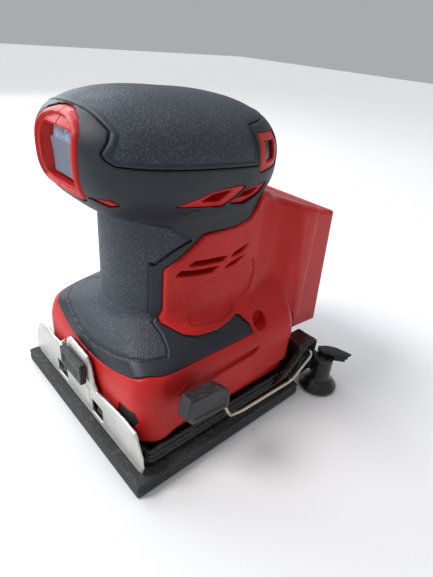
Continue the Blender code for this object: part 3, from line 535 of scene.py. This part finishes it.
def clamp_plate(x, y, z):
    """Bent zinc sheet of the front paper clamp, its top edges turned back a little."""
    shape = outline(y, z, PLATE_OUTLINE) + 0.8
    bend = 1.3 * np.maximum(0.0, 1.0 + (shape - 0.8) / 2.6) ** 2 * smooth(z, 22.0, 26.0)
    sheet = between(x + bend, CLAMP_FACE - SHEET, CLAMP_FACE)
    plate = keep(shape - 0.8, sheet, 0.42)
    foot = rounded_rectangle(x, y, CLAMP_FACE - 3.0, CLAMP_FACE, 50.0, 0.4)
    foot = keep(foot, between(z, 7.6, 8.6), 0.3)
    for low, high in PLATE_WINDOWS:
        hole = rounded_rectangle(z, y - (low + high) / 2, 10.2, 18.4, (high - low) / 2, 0.8)
        plate = cut(plate, hole, 0.3)
        foot = cut(foot, keep(between(y, low + 1.0, high - 1.0), x - CLAMP_FACE + SHEET))
    tongue = block(x, y, z, (CLAMP_FACE - 0.4, 4.8, 14.0), (CLAMP_FACE + 0.7, 8.4, 23.5), 0.5)
    return join(join(plate, foot, 0.8), tongue, 0.6)


def clamp_catch(x, y, z):
    """Dark stops on the pad, seen through the plate's windows."""
    stops = [block(x, y, z, (44.75, low + 2.2, 8.4), (45.9, high - 2.2, 15.0), 0.5)
             for low, high in PLATE_WINDOWS]
    return np.minimum.reduce(stops)


def front_tip(x, y, z):
    """Moulded finger grip on the front clamp's wire."""
    body = block(x, y, z, (47.8, -12.8, 26.4), (51.1, 7.6, 37.4), 0.9)
    dish = length(x - 55.4, z - 32.2) - 5.2
    body = cut(body, keep(dish, between(y, -10.0, 4.6), 1.0), 0.6)
    dimple = length(x - 51.6, y + 11.3, z - 29.6) - 1.0
    return cut(body, dimple, 0.2)


def rear_plate(x, y, z):
    """The rear paper clamp, which ends beside the dust duct."""
    plate = keep(outline(x, z, REAR_PLATE_SECTION), between(y, -53.0, 36.0), 0.3)
    for low, high in PLATE_WINDOWS:
        plate = cut(plate, keep(between(y, low, high), between(z, 11.5, 17.5), 0.8), 0.3)
    return plate


def rear_tip(x, y, z):
    """Moulded finger grip on the left end of the rear clamp's wire."""
    face = outline(x, z, REAR_TIP_FACE)
    body = keep(face + 1.2, between(y, 54.4, 61.2) + 1.2, 0.1) - 1.2
    return cut(body, keep(face + 3.0, 60.7 - y), 0.8)


def dust_duct(x, y, z):
    """Duct at the rear left corner: a flat wall, a chamber behind it, and the flared nozzle."""
    wall = keep(outline(x, z, DUCT_SIDE), between(y, 49.6, 53.0), 0.9)
    chamber = block(x, y, z, (-66.4, 39.6, 9.6), (-52.8, 52.0, 29.8), 1.2)
    web = block(x, y, z, (-57.0, 37.6, 9.8), (-46.3, 53.0, 12.5), 0.7)
    neck = block(x, y, z, (-70.5, 50.0, 10.4), (-63.5, 58.6, 19.6), 1.2)
    around = length(x - NOZZLE[0], y - NOZZLE[1])
    nozzle = join(neck, outline(around, z, NOZZLE_PROFILE), 1.0)
    duct = join(join(join(wall, chamber, 0.6), web, 0.6), nozzle, 0.8)
    duct = cut(duct, keep(around - NOZZLE_BORE, z - 18.6), 0.6)
    duct = join(duct, keep(outline(x, z, DUCT_RIB), between(y, 52.4, 54.0), 0.5), 0.5)
    eye = keep(length(x - REAR_PIVOT[0], z - REAR_PIVOT[1]) - 1.7, 49.0 - y)
    return cut(duct, eye, 0.3)


def hose_flange(x, y, z):
    """Three thin plates one above the other on a core, over the nozzle's top."""
    edge, level = outline(x, y, FLANGE_RIM), z - 0.04 * (x + 66.0)
    flange = keep(edge, between(level, 22.2, 23.8), 0.5)
    flange = join(flange, keep(edge + 0.8, between(level, 19.9, 21.5), 0.5))
    flange = join(flange, keep(edge + 1.5, between(level, 17.8, 19.3), 0.5))
    flange = join(flange, keep(edge + 2.2, between(level, 18.0, 23.0)))
    around = length(x - NOZZLE[0], y - NOZZLE[1])
    clear = keep(around - NOZZLE_RADIUS - NOZZLE_GAP, z - NOZZLE_TOP - NOZZLE_GAP)
    return cut(flange, clear, 0.3)


def seal(x, y, z):
    """Soft dark skirt inside the housing's lower edge."""
    ring = rounded_rectangle(x, y, BASE_REAR + 3.2, BASE_FRONT - 3.2, BASE_SIDE - 3.2, 13.0)
    folds = 0.5 * np.sin(z * 1.6)
    return keep(np.abs(ring + 1.0 + folds) - 0.9, between(z, 12.9, 21.8), 0.5)


# ---------------------------------------------------------------- pieces: battery foot


def terminal_block(x, y, z):
    """The block in the foot's mouth, with a well round each contact blade."""
    body = block(x, y, z, (-74.0, -17.0, 60.0), (-63.0, 17.0, 84.0), 0.8)
    for centre in CONTACT_PLACES:
        well = block(x, y, z, (-80.0, centre - 1.5, 62.5), (-71.5, centre + 1.5, 82.0), 0.4)
        body = cut(body, well, 0.2)
    return body


def battery_rail(side):
    return lambda x, y, z: keep(outline(x, z, RAIL_SECTION), between(side * y, 23.0, 27.7), 0.5)


def contact(centre):
    def field(x, y, z):
        face = rounded_rectangle(x, z - 72.0, -81.0, -74.3, 8.0, 1.0)
        return keep(face, np.abs(y - centre) - 0.5, 0.2)

    return field


# ---------------------------------------------------------------- meshes

BLOCK = 8  # cells along a block's side
RUN = 120000  # points worked out at a time, few enough to stay in fast memory
CORNERS = np.array(list(product((0, 1), repeat=3)))
EDGES = [(a, b) for a in range(8) for b in range(a + 1, 8)
         if np.abs(CORNERS[a] - CORNERS[b]).sum() == 1]


def sampled(field, points):
    """The field's values at points."""
    return np.concatenate([field(*points[i : i + RUN].T) for i in range(0, len(points), RUN)])


def surface(field, low, high, step):
    """Points and quads where the field is zero: surface nets on a grid that skips empty blocks."""
    low = np.array(low, float) - 1.5 * step
    blocks = np.ceil((np.array(high, float) + 1.5 * step - low) / (BLOCK * step)).astype(int)
    places = np.indices(blocks).reshape(3, -1).T
    near = BLOCK * step * math.sqrt(3) / 2 * 1.5 + step
    places = places[np.abs(sampled(field, low + (places + 0.5) * BLOCK * step)) < near]
    local = np.indices((BLOCK + 1,) * 3).reshape(3, -1).T
    grid = (BLOCK * places[:, None, :] + local[None]).reshape(-1, 3)
    values = sampled(field, low + grid * step).reshape(-1, BLOCK + 1, BLOCK + 1, BLOCK + 1)
    corner = [values[:, i : i + BLOCK, j : j + BLOCK, k : k + BLOCK] for i, j, k in CORNERS]
    count = sum((c < 0).astype(np.int8) for c in corner)
    block_index, i, j, k = np.nonzero((count > 0) & (count < 8))
    value = np.stack([c[block_index, i, j, k] for c in corner], 1)
    cell = BLOCK * places[block_index] + np.stack([i, j, k], 1)
    total, crossings = np.zeros((len(cell), 3)), np.zeros(len(cell))
    for a, b in EDGES:
        crossed = (value[:, a] < 0) != (value[:, b] < 0)
        share = value[crossed, a] / (value[crossed, a] - value[crossed, b])
        total[crossed] += CORNERS[a] + share[:, None] * (CORNERS[b] - CORNERS[a])
        crossings[crossed] += 1
    points = low + (cell + total / crossings[:, None]) * step
    points = settled(field, points, low + (cell + 0.5) * step, step)
    return points, quads_between(cell, value)


def settled(field, points, centres, step):
    """Moves the points onto the surface along its slope, each within its own cell."""
    reach = 0.05 * step
    for _ in range(2):
        here = sampled(field, points)
        ahead = [sampled(field, points + reach * axis) for axis in np.eye(3)]
        slope = np.stack([(value - here) / reach for value in ahead], 1)
        points = points - slope * (here / np.maximum((slope**2).sum(1), 0.2))[:, None]
        points = centres + np.clip(points - centres, -0.5 * step, 0.5 * step)
    return points


def quads_between(cell, value):
    """One quad round each grid edge that crosses the surface, facing outward."""
    span = cell.max(0) + 2
    key = (cell[:, 0] * span[1] + cell[:, 1]) * span[2] + cell[:, 2]
    order = np.argsort(key)
    ranked = key[order]
    strides = (span[1] * span[2], span[2], 1)
    quads = []
    for axis in range(3):
        far = 4 >> axis
        crossed = np.nonzero((value[:, 0] < 0) != (value[:, far] < 0))[0]
        b, c = strides[(axis + 1) % 3], strides[(axis + 2) % 3]
        wanted = key[crossed][:, None] - np.array([0, b, b + c, c])
        found = np.minimum(np.searchsorted(ranked, wanted), len(ranked) - 1)
        whole = (ranked[found] == wanted).all(1)
        quad = order[found[whole]]
        facing = value[crossed[whole], 0] < 0
        quads.append(np.where(facing[:, None], quad, quad[:, ::-1]))
    return np.concatenate(quads)


def mesh_object(name, points, faces, finish):
    """A mesh from points in mm and equal-sided faces."""
    mesh = bpy.data.meshes.new(name)
    mesh.vertices.add(len(points))
    mesh.vertices.foreach_set("co", (points * MM).astype(np.float32).ravel())
    mesh.loops.add(faces.size)
    mesh.loops.foreach_set("vertex_index", faces.astype(np.int32).ravel())
    mesh.polygons.add(len(faces))
    starts = np.arange(0, faces.size, faces.shape[1], dtype=np.int32)
    mesh.polygons.foreach_set("loop_start", starts)
    mesh.update(calc_edges=True)
    mesh.shade_smooth()
    mesh.materials.append(finish)
    obj = bpy.data.objects.new(name, mesh)
    bpy.context.scene.collection.objects.link(obj)
    return obj


def bent(points, radius, steps=6):
    """The path with each inner corner rounded."""
    path = [Vector(p) for p in points]
    made = [path[0]]
    for before, corner, after in zip(path, path[1:], path[2:]):
        back, ahead = before - corner, after - corner
        reach = min(radius, back.length * 0.45, ahead.length * 0.45)
        start, end = corner + back.normalized() * reach, corner + ahead.normalized() * reach
        made += [start * (1 - t) ** 2 + corner * 2 * t * (1 - t) + end * t**2
                 for t in (k / steps for k in range(steps + 1))]
    return [*made, path[-1]]


def wire(name, points, radius, finish, sides=20):
    """A round wire along a path, with rounded ends."""
    path = bent(points, WIRE_BEND)
    first, last = (path[0] - path[1]).normalized(), (path[-1] - path[-2]).normalized()
    rings, side = [], None
    stations = [(path[0] + first * radius * 0.5, 0.5), *((p, 1.0) for p in path),
                (path[-1] + last * radius * 0.5, 0.5)]
    for i, (here, scale) in enumerate(stations):
        after, before = stations[min(i + 1, len(stations) - 1)][0], stations[max(i - 1, 0)][0]
        ahead = (after - before).normalized()
        side = ahead.orthogonal() if side is None else side
        side = (side - ahead * side.dot(ahead)).normalized()
        other = ahead.cross(side)
        turns = [2 * math.pi * k / sides for k in range(sides)]
        rings += [here + radius * scale * (side * math.cos(t) + other * math.sin(t)) for t in turns]
    rings = np.array(rings)
    faces = []
    for level in range(len(stations) - 1):
        for k in range(sides):
            a, b = level * sides + k, level * sides + (k + 1) % sides
            faces.append((a, b, b + sides, a + sides))
    ends = [rings[:sides].mean(0), rings[-sides:].mean(0)]
    points = np.vstack([rings, ends])
    for k in range(0, sides, 2):
        a, b, c = k, (k + 1) % sides, (k + 2) % sides
        faces.append((len(rings), c, b, a))
        top = len(rings) - sides
        faces.append((len(rings) + 1, top + a, top + b, top + c))
    return mesh_object(name, points, np.array(faces), finish)


# ---------------------------------------------------------------- materials


def node(tree, kind, inputs=None, **settings):
    """A shader node with its settings, and its inputs linked or set."""
    made = tree.nodes.new("ShaderNode" + kind)
    for name, value in settings.items():
        setattr(made, name, value)
    for name, value in (inputs or {}).items():
        if isinstance(value, bpy.types.NodeSocket):
            tree.links.new(value, made.inputs[name])
        else:
            made.inputs[name].default_value = value
    return made


def noise(tree, place, scale, detail=3.0, roughness=0.55):
    inputs = {"Vector": place, "Scale": scale, "Detail": detail, "Roughness": roughness}
    return node(tree, "TexNoise", inputs).outputs[0]


def ramp(tree, factor, stops):
    """A colour by factor, from (factor, colour) stops."""
    made = node(tree, "ValToRGB", {"Fac": factor})
    elements = made.color_ramp.elements
    for element, (place, colour) in zip(elements, (stops[0], stops[-1])):
        element.position, element.color = place, (*colour, 1.0)
    for place, colour in stops[1:-1]:
        elements.new(place).color = (*colour, 1.0)
    return made.outputs["Color"]


def ranged(tree, value, low, high, start=0.3, end=0.7):
    """The value carried from start..end to low..high."""
    inputs = {"Value": value, "From Min": start, "From Max": end, "To Min": low, "To Max": high}
    return node(tree, "MapRange", inputs).outputs["Result"]


def maths(tree, operation, a, b):
    return node(tree, "Math", {0: a, 1: b}, operation=operation).outputs[0]


def blended(tree, factor, a, b):
    """One colour mixed into another: 6, 7 and 2 are the Mix node's colour sockets."""
    return node(tree, "Mix", {0: factor, 6: a, 7: b}, data_type="RGBA").outputs[2]


def finish(name, roughness, metallic=0.0, specular=0.5):
    """A new material, with its tree, its shader and its object coordinates."""
    made = bpy.data.materials.new(name)
    made.use_nodes = True
    tree = made.node_tree
    shader = tree.nodes["Principled BSDF"]
    shader.inputs["Roughness"].default_value = roughness
    shader.inputs["Metallic"].default_value = metallic
    shader.inputs["Specular IOR Level"].default_value = specular
    place = node(tree, "TexCoord").outputs["Object"]
    return made, tree, shader, place


def set_bump(tree, shader, height, strength, distance_mm):
    inputs = {"Height": height, "Strength": strength, "Distance": distance_mm * MM}
    made = node(tree, "Bump", inputs)
    tree.links.new(made.outputs["Normal"], shader.inputs["Normal"])


def moulded(name, dark, light, roughness, spread=0.07, grain=900.0, bump=0.15, **more):
    """Moulded plastic or cast metal: a soft shift of tone, uneven gloss and a fine skin."""
    made, tree, shader, place = finish(name, roughness, **more)
    tone = ramp(tree, noise(tree, place, 38.0), [(0.3, dark), (0.7, light)])
    tree.links.new(tone, shader.inputs["Base Color"])
    gloss = ranged(tree, noise(tree, place, 170.0, 4.0), roughness - spread, roughness + spread)
    tree.links.new(gloss, shader.inputs["Roughness"])
    set_bump(tree, shader, noise(tree, place, grain, 2.0), bump, 0.05)
    return made


def soft_rubber(name, lift=1.0):
    """Overmoulded rubber: pebbled where the mesh's grain attribute is 1, smooth where it is 0."""
    made, tree, shader, place = finish(name, 0.55, specular=0.38)
    grain = node(tree, "Attribute", attribute_name="grain").outputs["Fac"]
    pebble = node(tree, "TexVoronoi", {"Vector": place, "Scale": 1150.0, "Smoothness": 0.5},
                  feature="SMOOTH_F1").outputs["Distance"]
    speck = noise(tree, place, 1500.0, 2.0, 0.7)
    shades = [tuple(lift * c for c in shade) for shade in (
        (0.015, 0.018, 0.025), (0.021, 0.025, 0.034), (0.023, 0.028, 0.039), (0.043, 0.051, 0.068),
        (0.096, 0.110, 0.140))]
    tone = ramp(tree, noise(tree, place, 45.0), [(0.3, shades[0]), (0.7, shades[1])])
    # light: lighter flecks, only where grain is 1, are painted glints and sheen on the pebbles; the
    # bump gives the pebbles their shape
    light = ramp(tree, speck, [(0.40, shades[2]), (0.56, shades[3]), (0.70, shades[4])])
    colour = blended(tree, grain, tone, light)
    tree.links.new(colour, shader.inputs["Base Color"])
    smear = ranged(tree, noise(tree, place, 60.0, 4.0), 0.40, 0.56)
    gloss = maths(tree, "ADD", smear, maths(tree, "MULTIPLY", grain, 0.10))
    tree.links.new(gloss, shader.inputs["Roughness"])
    fine = maths(tree, "MULTIPLY", noise(tree, place, 900.0, 2.0), 0.12)
    height = maths(tree, "ADD", fine, maths(tree, "MULTIPLY", pebble, grain))
    set_bump(tree, shader, height, 0.7, 0.22)
    return made


def dusty(name, dark, light, roughness, dust, amount, grain=700.0, bump=0.2, **more):
    """A dark part that has sanding dust on its upward faces, with fine scuffs."""
    made, tree, shader, place = finish(name, roughness, **more)
    normal = node(tree, "NewGeometry").outputs["Normal"]
    up = node(tree, "SeparateXYZ", {"Vector": normal}).outputs["Z"]
    settled_on = ranged(tree, up, 0.0, 1.0, 0.35, 0.95)
    specks = ranged(tree, noise(tree, place, 420.0, 6.0, 0.72), 0.0, 1.0, 0.50, 0.72)
    cloud = ranged(tree, noise(tree, place, 70.0, 3.0), 0.25, 1.0)
    cover = maths(tree, "MULTIPLY", maths(tree, "MULTIPLY", specks, cloud),
                  maths(tree, "ADD", maths(tree, "MULTIPLY", settled_on, amount), amount * 0.04))
    cover = node(tree, "Clamp", {"Value": cover}).outputs[0]
    tone = ramp(tree, noise(tree, place, 60.0), [(0.3, dark), (0.7, light)])
    tree.links.new(blended(tree, cover, tone, (*dust, 1.0)), shader.inputs["Base Color"])
    scuff = ranged(tree, noise(tree, place, 240.0, 5.0), roughness - 0.06, roughness + 0.16)
    gloss = maths(tree, "ADD", scuff, maths(tree, "MULTIPLY", cover, 0.4))
    tree.links.new(gloss, shader.inputs["Roughness"])
    set_bump(tree, shader, noise(tree, place, grain, 3.0), bump, 0.08)
    return made


def brushed(name, dark, light, roughness, stretch, metallic=1.0, bump=0.1):
    """Bare metal with fine drawn lines and uneven gloss."""
    made, tree, shader, place = finish(name, roughness, metallic=metallic)
    drawn = node(tree, "Mapping", {"Vector": place, "Scale": stretch}).outputs["Vector"]
    lines = noise(tree, drawn, 1.0, 4.0, 0.6)
    tone = ramp(tree, noise(tree, place, 90.0, 4.0), [(0.3, dark), (0.7, light)])
    tree.links.new(tone, shader.inputs["Base Color"])
    uneven = maths(tree, "MULTIPLY", maths(tree, "ADD", lines, noise(tree, place, 130.0)), 0.5)
    gloss = ranged(tree, uneven, roughness - 0.09, roughness + 0.12)
    tree.links.new(gloss, shader.inputs["Roughness"])
    set_bump(tree, shader, lines, bump, 0.04)
    return made


def finishes():
    """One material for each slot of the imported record."""
    return {
        "red_housing": moulded(
            "red_plastic", (0.47, 0.011, 0.010), (0.56, 0.016, 0.014), 0.42, 0.07,
            grain=1100.0, bump=0.12, specular=0.28),
        "soft_skin": soft_rubber("soft_rubber"),
        "switch_grey": soft_rubber("switch_plastic", 7.0),
        "dark_nylon": moulded("black_nylon", (0.012, 0.012, 0.013), (0.022, 0.022, 0.024), 0.5),
        "circuit_board": moulded(
            "circuit_board", (0.010, 0.055, 0.022), (0.018, 0.085, 0.035), 0.42),
        "contact_brass": brushed(
            "contact_brass", (0.66, 0.50, 0.22), (0.80, 0.64, 0.33), 0.3, (30, 30, 900)),
        "bright_steel": brushed(
            "drawn_steel", (0.60, 0.54, 0.45), (0.78, 0.71, 0.60), 0.30, (700, 700, 60)),
        "motor_iron": brushed(
            "motor_iron", (0.22, 0.21, 0.20), (0.33, 0.31, 0.29), 0.45, (60, 60, 1600)),
        "cast_alloy": brushed(
            "cast_alloy", (0.42, 0.42, 0.43), (0.55, 0.55, 0.56), 0.5, (500, 500, 500), bump=0.3),
        "support_rubber": moulded(
            "support_rubber", (0.014, 0.014, 0.015), (0.026, 0.026, 0.027), 0.7, bump=0.3),
        "gloss_black": dusty(
            "gloss_black", (0.006, 0.006, 0.007), (0.014, 0.014, 0.015), 0.20,
            (0.24, 0.22, 0.19), 0.55),
        "pad_rubber": dusty(
            "pad_foam", (0.020, 0.021, 0.022), (0.036, 0.037, 0.038), 0.66,
            (0.15, 0.135, 0.11), 1.3, grain=1700.0, bump=0.6),
        "black_plastic": dusty(
            "black_plastic", (0.012, 0.013, 0.014), (0.020, 0.021, 0.023), 0.42,
            (0.2, 0.19, 0.17), 0.35, grain=1300.0, bump=0.5),
        "zinc_plate": brushed(
            "zinc_plate", (0.52, 0.52, 0.49), (0.68, 0.67, 0.63), 0.40, (40, 900, 40),
            metallic=0.55, bump=0.08),
    }


# ---------------------------------------------------------------- the model

# name, CAD node, field, grain attribute, low corner, high corner, grid step
SHELLS = (
    ("shell_left", "housing_left", half_of(1), None, (-84, 0, 14), (51, 50, 153), 0.6),
    ("shell_right", "housing_right", half_of(-1), None, (-84, -50, 14), (51, 0, 153), 0.6),
    ("apron_rubber", "base_apron_grip", apron, apron_grain, (-24, -49, 36), (45, 49, 64), 0.5),
    ("column_rubber", "column_grip", column_wrap, column_grain, (-2, -31, 56), (32, 31, 107), 0.5),
    ("collar_rubber", "grip_collar", collar, None, (-30, -40, 56), (40, 40, 125), 0.5),
    ("crown_rubber", "grip_top", grip_top, top_grain, (-50, -39, 125), (52, 39, 153), 0.5),
    ("flank_rubber", "grip_side_band", side_band, None, (-50, -39, 98), (52, 39, 146), 0.5),
    ("rocker_cap", "switch_rocker", rocker, rocker_grain, (40, -9, 118), (48, 9, 141), 0.3),
    ("pad_foam", "foam_pad", foam_pad, None, (-53, -57, -1), (53, 57, 8), 0.6),
    ("deck", "platen", platen, None, (-47, -52, 7), (46, 52, 23), 0.55),
    ("front_plate", "front_clamp_plate", clamp_plate, None, (43, -55, 7), (49, 54, 42), 0.35),
    ("front_catch", "platen", clamp_catch, None, (44, -24, 8), (47, 28, 16), 0.4),
    ("front_tip", "front_lever_tip", front_tip, None, (47, -15, 26), (53, 9, 39), 0.3),
    ("rear_plate", "rear_clamp_plate", rear_plate, None, (-55, -54, 7), (-51, 41, 21), 0.4),
    ("rear_tip", "rear_lever_grip", rear_tip, None, (2, 53, 23), (34, 62, 49), 0.35),
    ("duct", "dust_duct", dust_duct, None, (-83, 36, 0), (-35, 72, 32), 0.45),
    ("flange", "hose_flange", hose_flange, None, (-83, 45, 17), (-65, 73, 30), 0.4),
    ("skirt", "skirt_seal", seal, None, (-50, -47, 12), (43, 47, 23), 0.6),
    ("contact_block", "terminal_block", terminal_block, None, (-75, -18, 59), (-62, 18, 85), 0.4),
    ("rail_left", "battery_rail_left", battery_rail(1), None, (-83, 22, 40), (-75, 29, 89), 0.4),
    ("rail_right", "battery_rail_right", battery_rail(-1), None, (-83, -29, 40), (-75, -22, 89),
     0.4),
)
CONTACTS = tuple(
    (f"blade_{i}", f"battery_contact_{i}", contact(y), None, (-82, y - 2, 62), (-73, y + 2, 82),
     0.3)
    for i, y in enumerate(CONTACT_PLACES, 1)
)
# name, body, slot, field, low corner, high corner, grid step
EXTRAS = (
    ("switch_bezel", "housing", "red_housing", bezel, (33, -18, 113), (51, 18, 146), 0.35),
    ("pane_left", "housing", "gloss_black", window_pane, (-34, 22, 124), (-20, 40, 138), 0.3),
    ("pane_right", "housing", "gloss_black", window_pane, (-34, -40, 124), (-20, -22, 138), 0.3),
    ("notch_pad", "housing", "support_rubber", notch_pad, (36, 24, 18), (44, 44, 33), 0.3),
)
# name, CAD node, path
WIRES = (
    ("front_wire", "front_lever_wire",
     ((44.9, -16.8, 13.4), (44.9, -16.8, 35.6), (49.4, -15.4, 35.6), (49.6, -8.8, 35.6))),
    ("rear_wire", "rear_lever_wire",
     ((REAR_PIVOT[0], 47.0, REAR_PIVOT[1]), (REAR_PIVOT[0], 55.4, REAR_PIVOT[1]),
      (-46.5, 54.6, 11.6), (-9.0, 54.6, 12.8), (1.5, 56.0, 17.0), (5.6, 57.6, 24.0),
      (11.0, 57.8, 34.0), (24.0, 57.8, 38.6))),
)


def build(frame):
    """Every shown piece, on its body and in its finish. Other CAD nodes keep their own shapes."""
    record = frame["record"]
    body = {n: b for b, nodes in record["behaviour"]["bodies"].items() for n in nodes}
    slot = {s["node"]: s["material_slot"] for s in record["subparts"]}
    paint = finishes()
    made = []
    for name, cad, field, grain, low, high, step in SHELLS + CONTACTS:
        points, quads = surface(field, low, high, step)
        obj = mesh_object(name, points, quads, paint[slot[cad]])
        if grain:
            layer = obj.data.attributes.new("grain", "FLOAT", "POINT")
            layer.data.foreach_set("value", grain(*points.T).astype(np.float32))
        made.append((obj, cad))
    for name, cad, path in WIRES:
        made.append((wire(name, path, WIRE_RADIUS, paint[slot[cad]]), cad))
    for obj, cad in made:
        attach(obj, body[cad])
        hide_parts(cad)
    for name, carrier, look, field, low, high, step in EXTRAS:
        points, quads = surface(field, low, high, step)
        obj = mesh_object(name, points, quads, paint[look])
        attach(obj, carrier)
    for name, cad in frame["nodes"].items():
        if not cad.hide_render:
            cad.data.materials.clear()
            cad.data.materials.append(paint[slot[name]])


# ---------------------------------------------------------------- studio


def soft_box(name, place, aim, size, power, colour):
    """A rectangular lamp that faces the point it is aimed at."""
    light = bpy.data.lights.new(name, "AREA")
    light.shape, light.size, light.size_y = "RECTANGLE", size[0], size[1]
    light.energy, light.color = power, colour
    obj = bpy.data.objects.new(name, light)
    bpy.context.scene.collection.objects.link(obj)
    obj.location = place
    obj.rotation_euler = (Vector(aim) - Vector(place)).to_track_quat("-Z", "Y").to_euler()


def studio():
    """A pale floor, an even sky, a wide sun from the picture's left, and two soft lamps."""
    half = FLOOR_HALF
    corners = [(-half, -half, 0), (half, -half, 0), (half, half, 0), (-half, half, 0)]
    paper, tree, shader, place = finish("pale_floor", 0.6)
    shades = [(0.3, (0.86, 0.86, 0.86)), (0.7, (0.88, 0.88, 0.88))]
    tone = ramp(tree, noise(tree, place, 3.0), shades)
    tree.links.new(tone, shader.inputs["Base Color"])
    floor = mesh_object("floor", np.array(corners, float), np.array([[0, 1, 2, 3]]), paper)
    world = bpy.data.worlds.new("studio")
    world.use_nodes = True
    sky = world.node_tree.nodes["Background"]
    sky.inputs["Color"].default_value = SKY_COLOUR
    sky.inputs["Strength"].default_value = SKY_STRENGTH
    bpy.context.scene.world = world
    bpy.context.scene.view_settings.view_transform = "Standard"
    sun = bpy.data.lights.new("key", "SUN")
    sun.energy, sun.angle = KEY_POWER, math.radians(KEY_SPREAD)
    key = bpy.data.objects.new("key", sun)
    bpy.context.scene.collection.objects.link(key)
    key.rotation_euler = Vector(KEY_FROM).to_track_quat("Z", "Y").to_euler()
    soft_box("sky", (0.10, -0.80, 0.50), (0, 0, 0.09), (0.8, 0.5), 6.0, (0.84, 0.92, 1.0))
    soft_box("top", (-0.20, -0.10, 0.80), (0, 0, 0.1), (0.6, 0.4), 1.2, (0.92, 0.96, 1.0))


def camera():
    """Stands where the photograph was taken from."""
    lens = bpy.data.cameras.new("camera")
    lens.sensor_width, lens.lens, lens.clip_start = SENSOR_MM, FOCAL_MM, NEAR_CLIP
    obj = bpy.data.objects.new("camera", lens)
    bpy.context.scene.collection.objects.link(obj)
    axes = np.array(CAMERA_AXES).T
    turn = Matrix(axes.tolist()).to_quaternion().to_matrix().to_4x4()
    obj.matrix_world = Matrix.Translation(CAMERA_PLACE) @ turn
    bpy.context.scene.camera = obj


def clear_scene():
    for obj in list(bpy.data.objects):
        bpy.data.objects.remove(obj)


def main():
    clear_scene()
    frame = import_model()
    build(frame)
    studio()
    camera()


main()
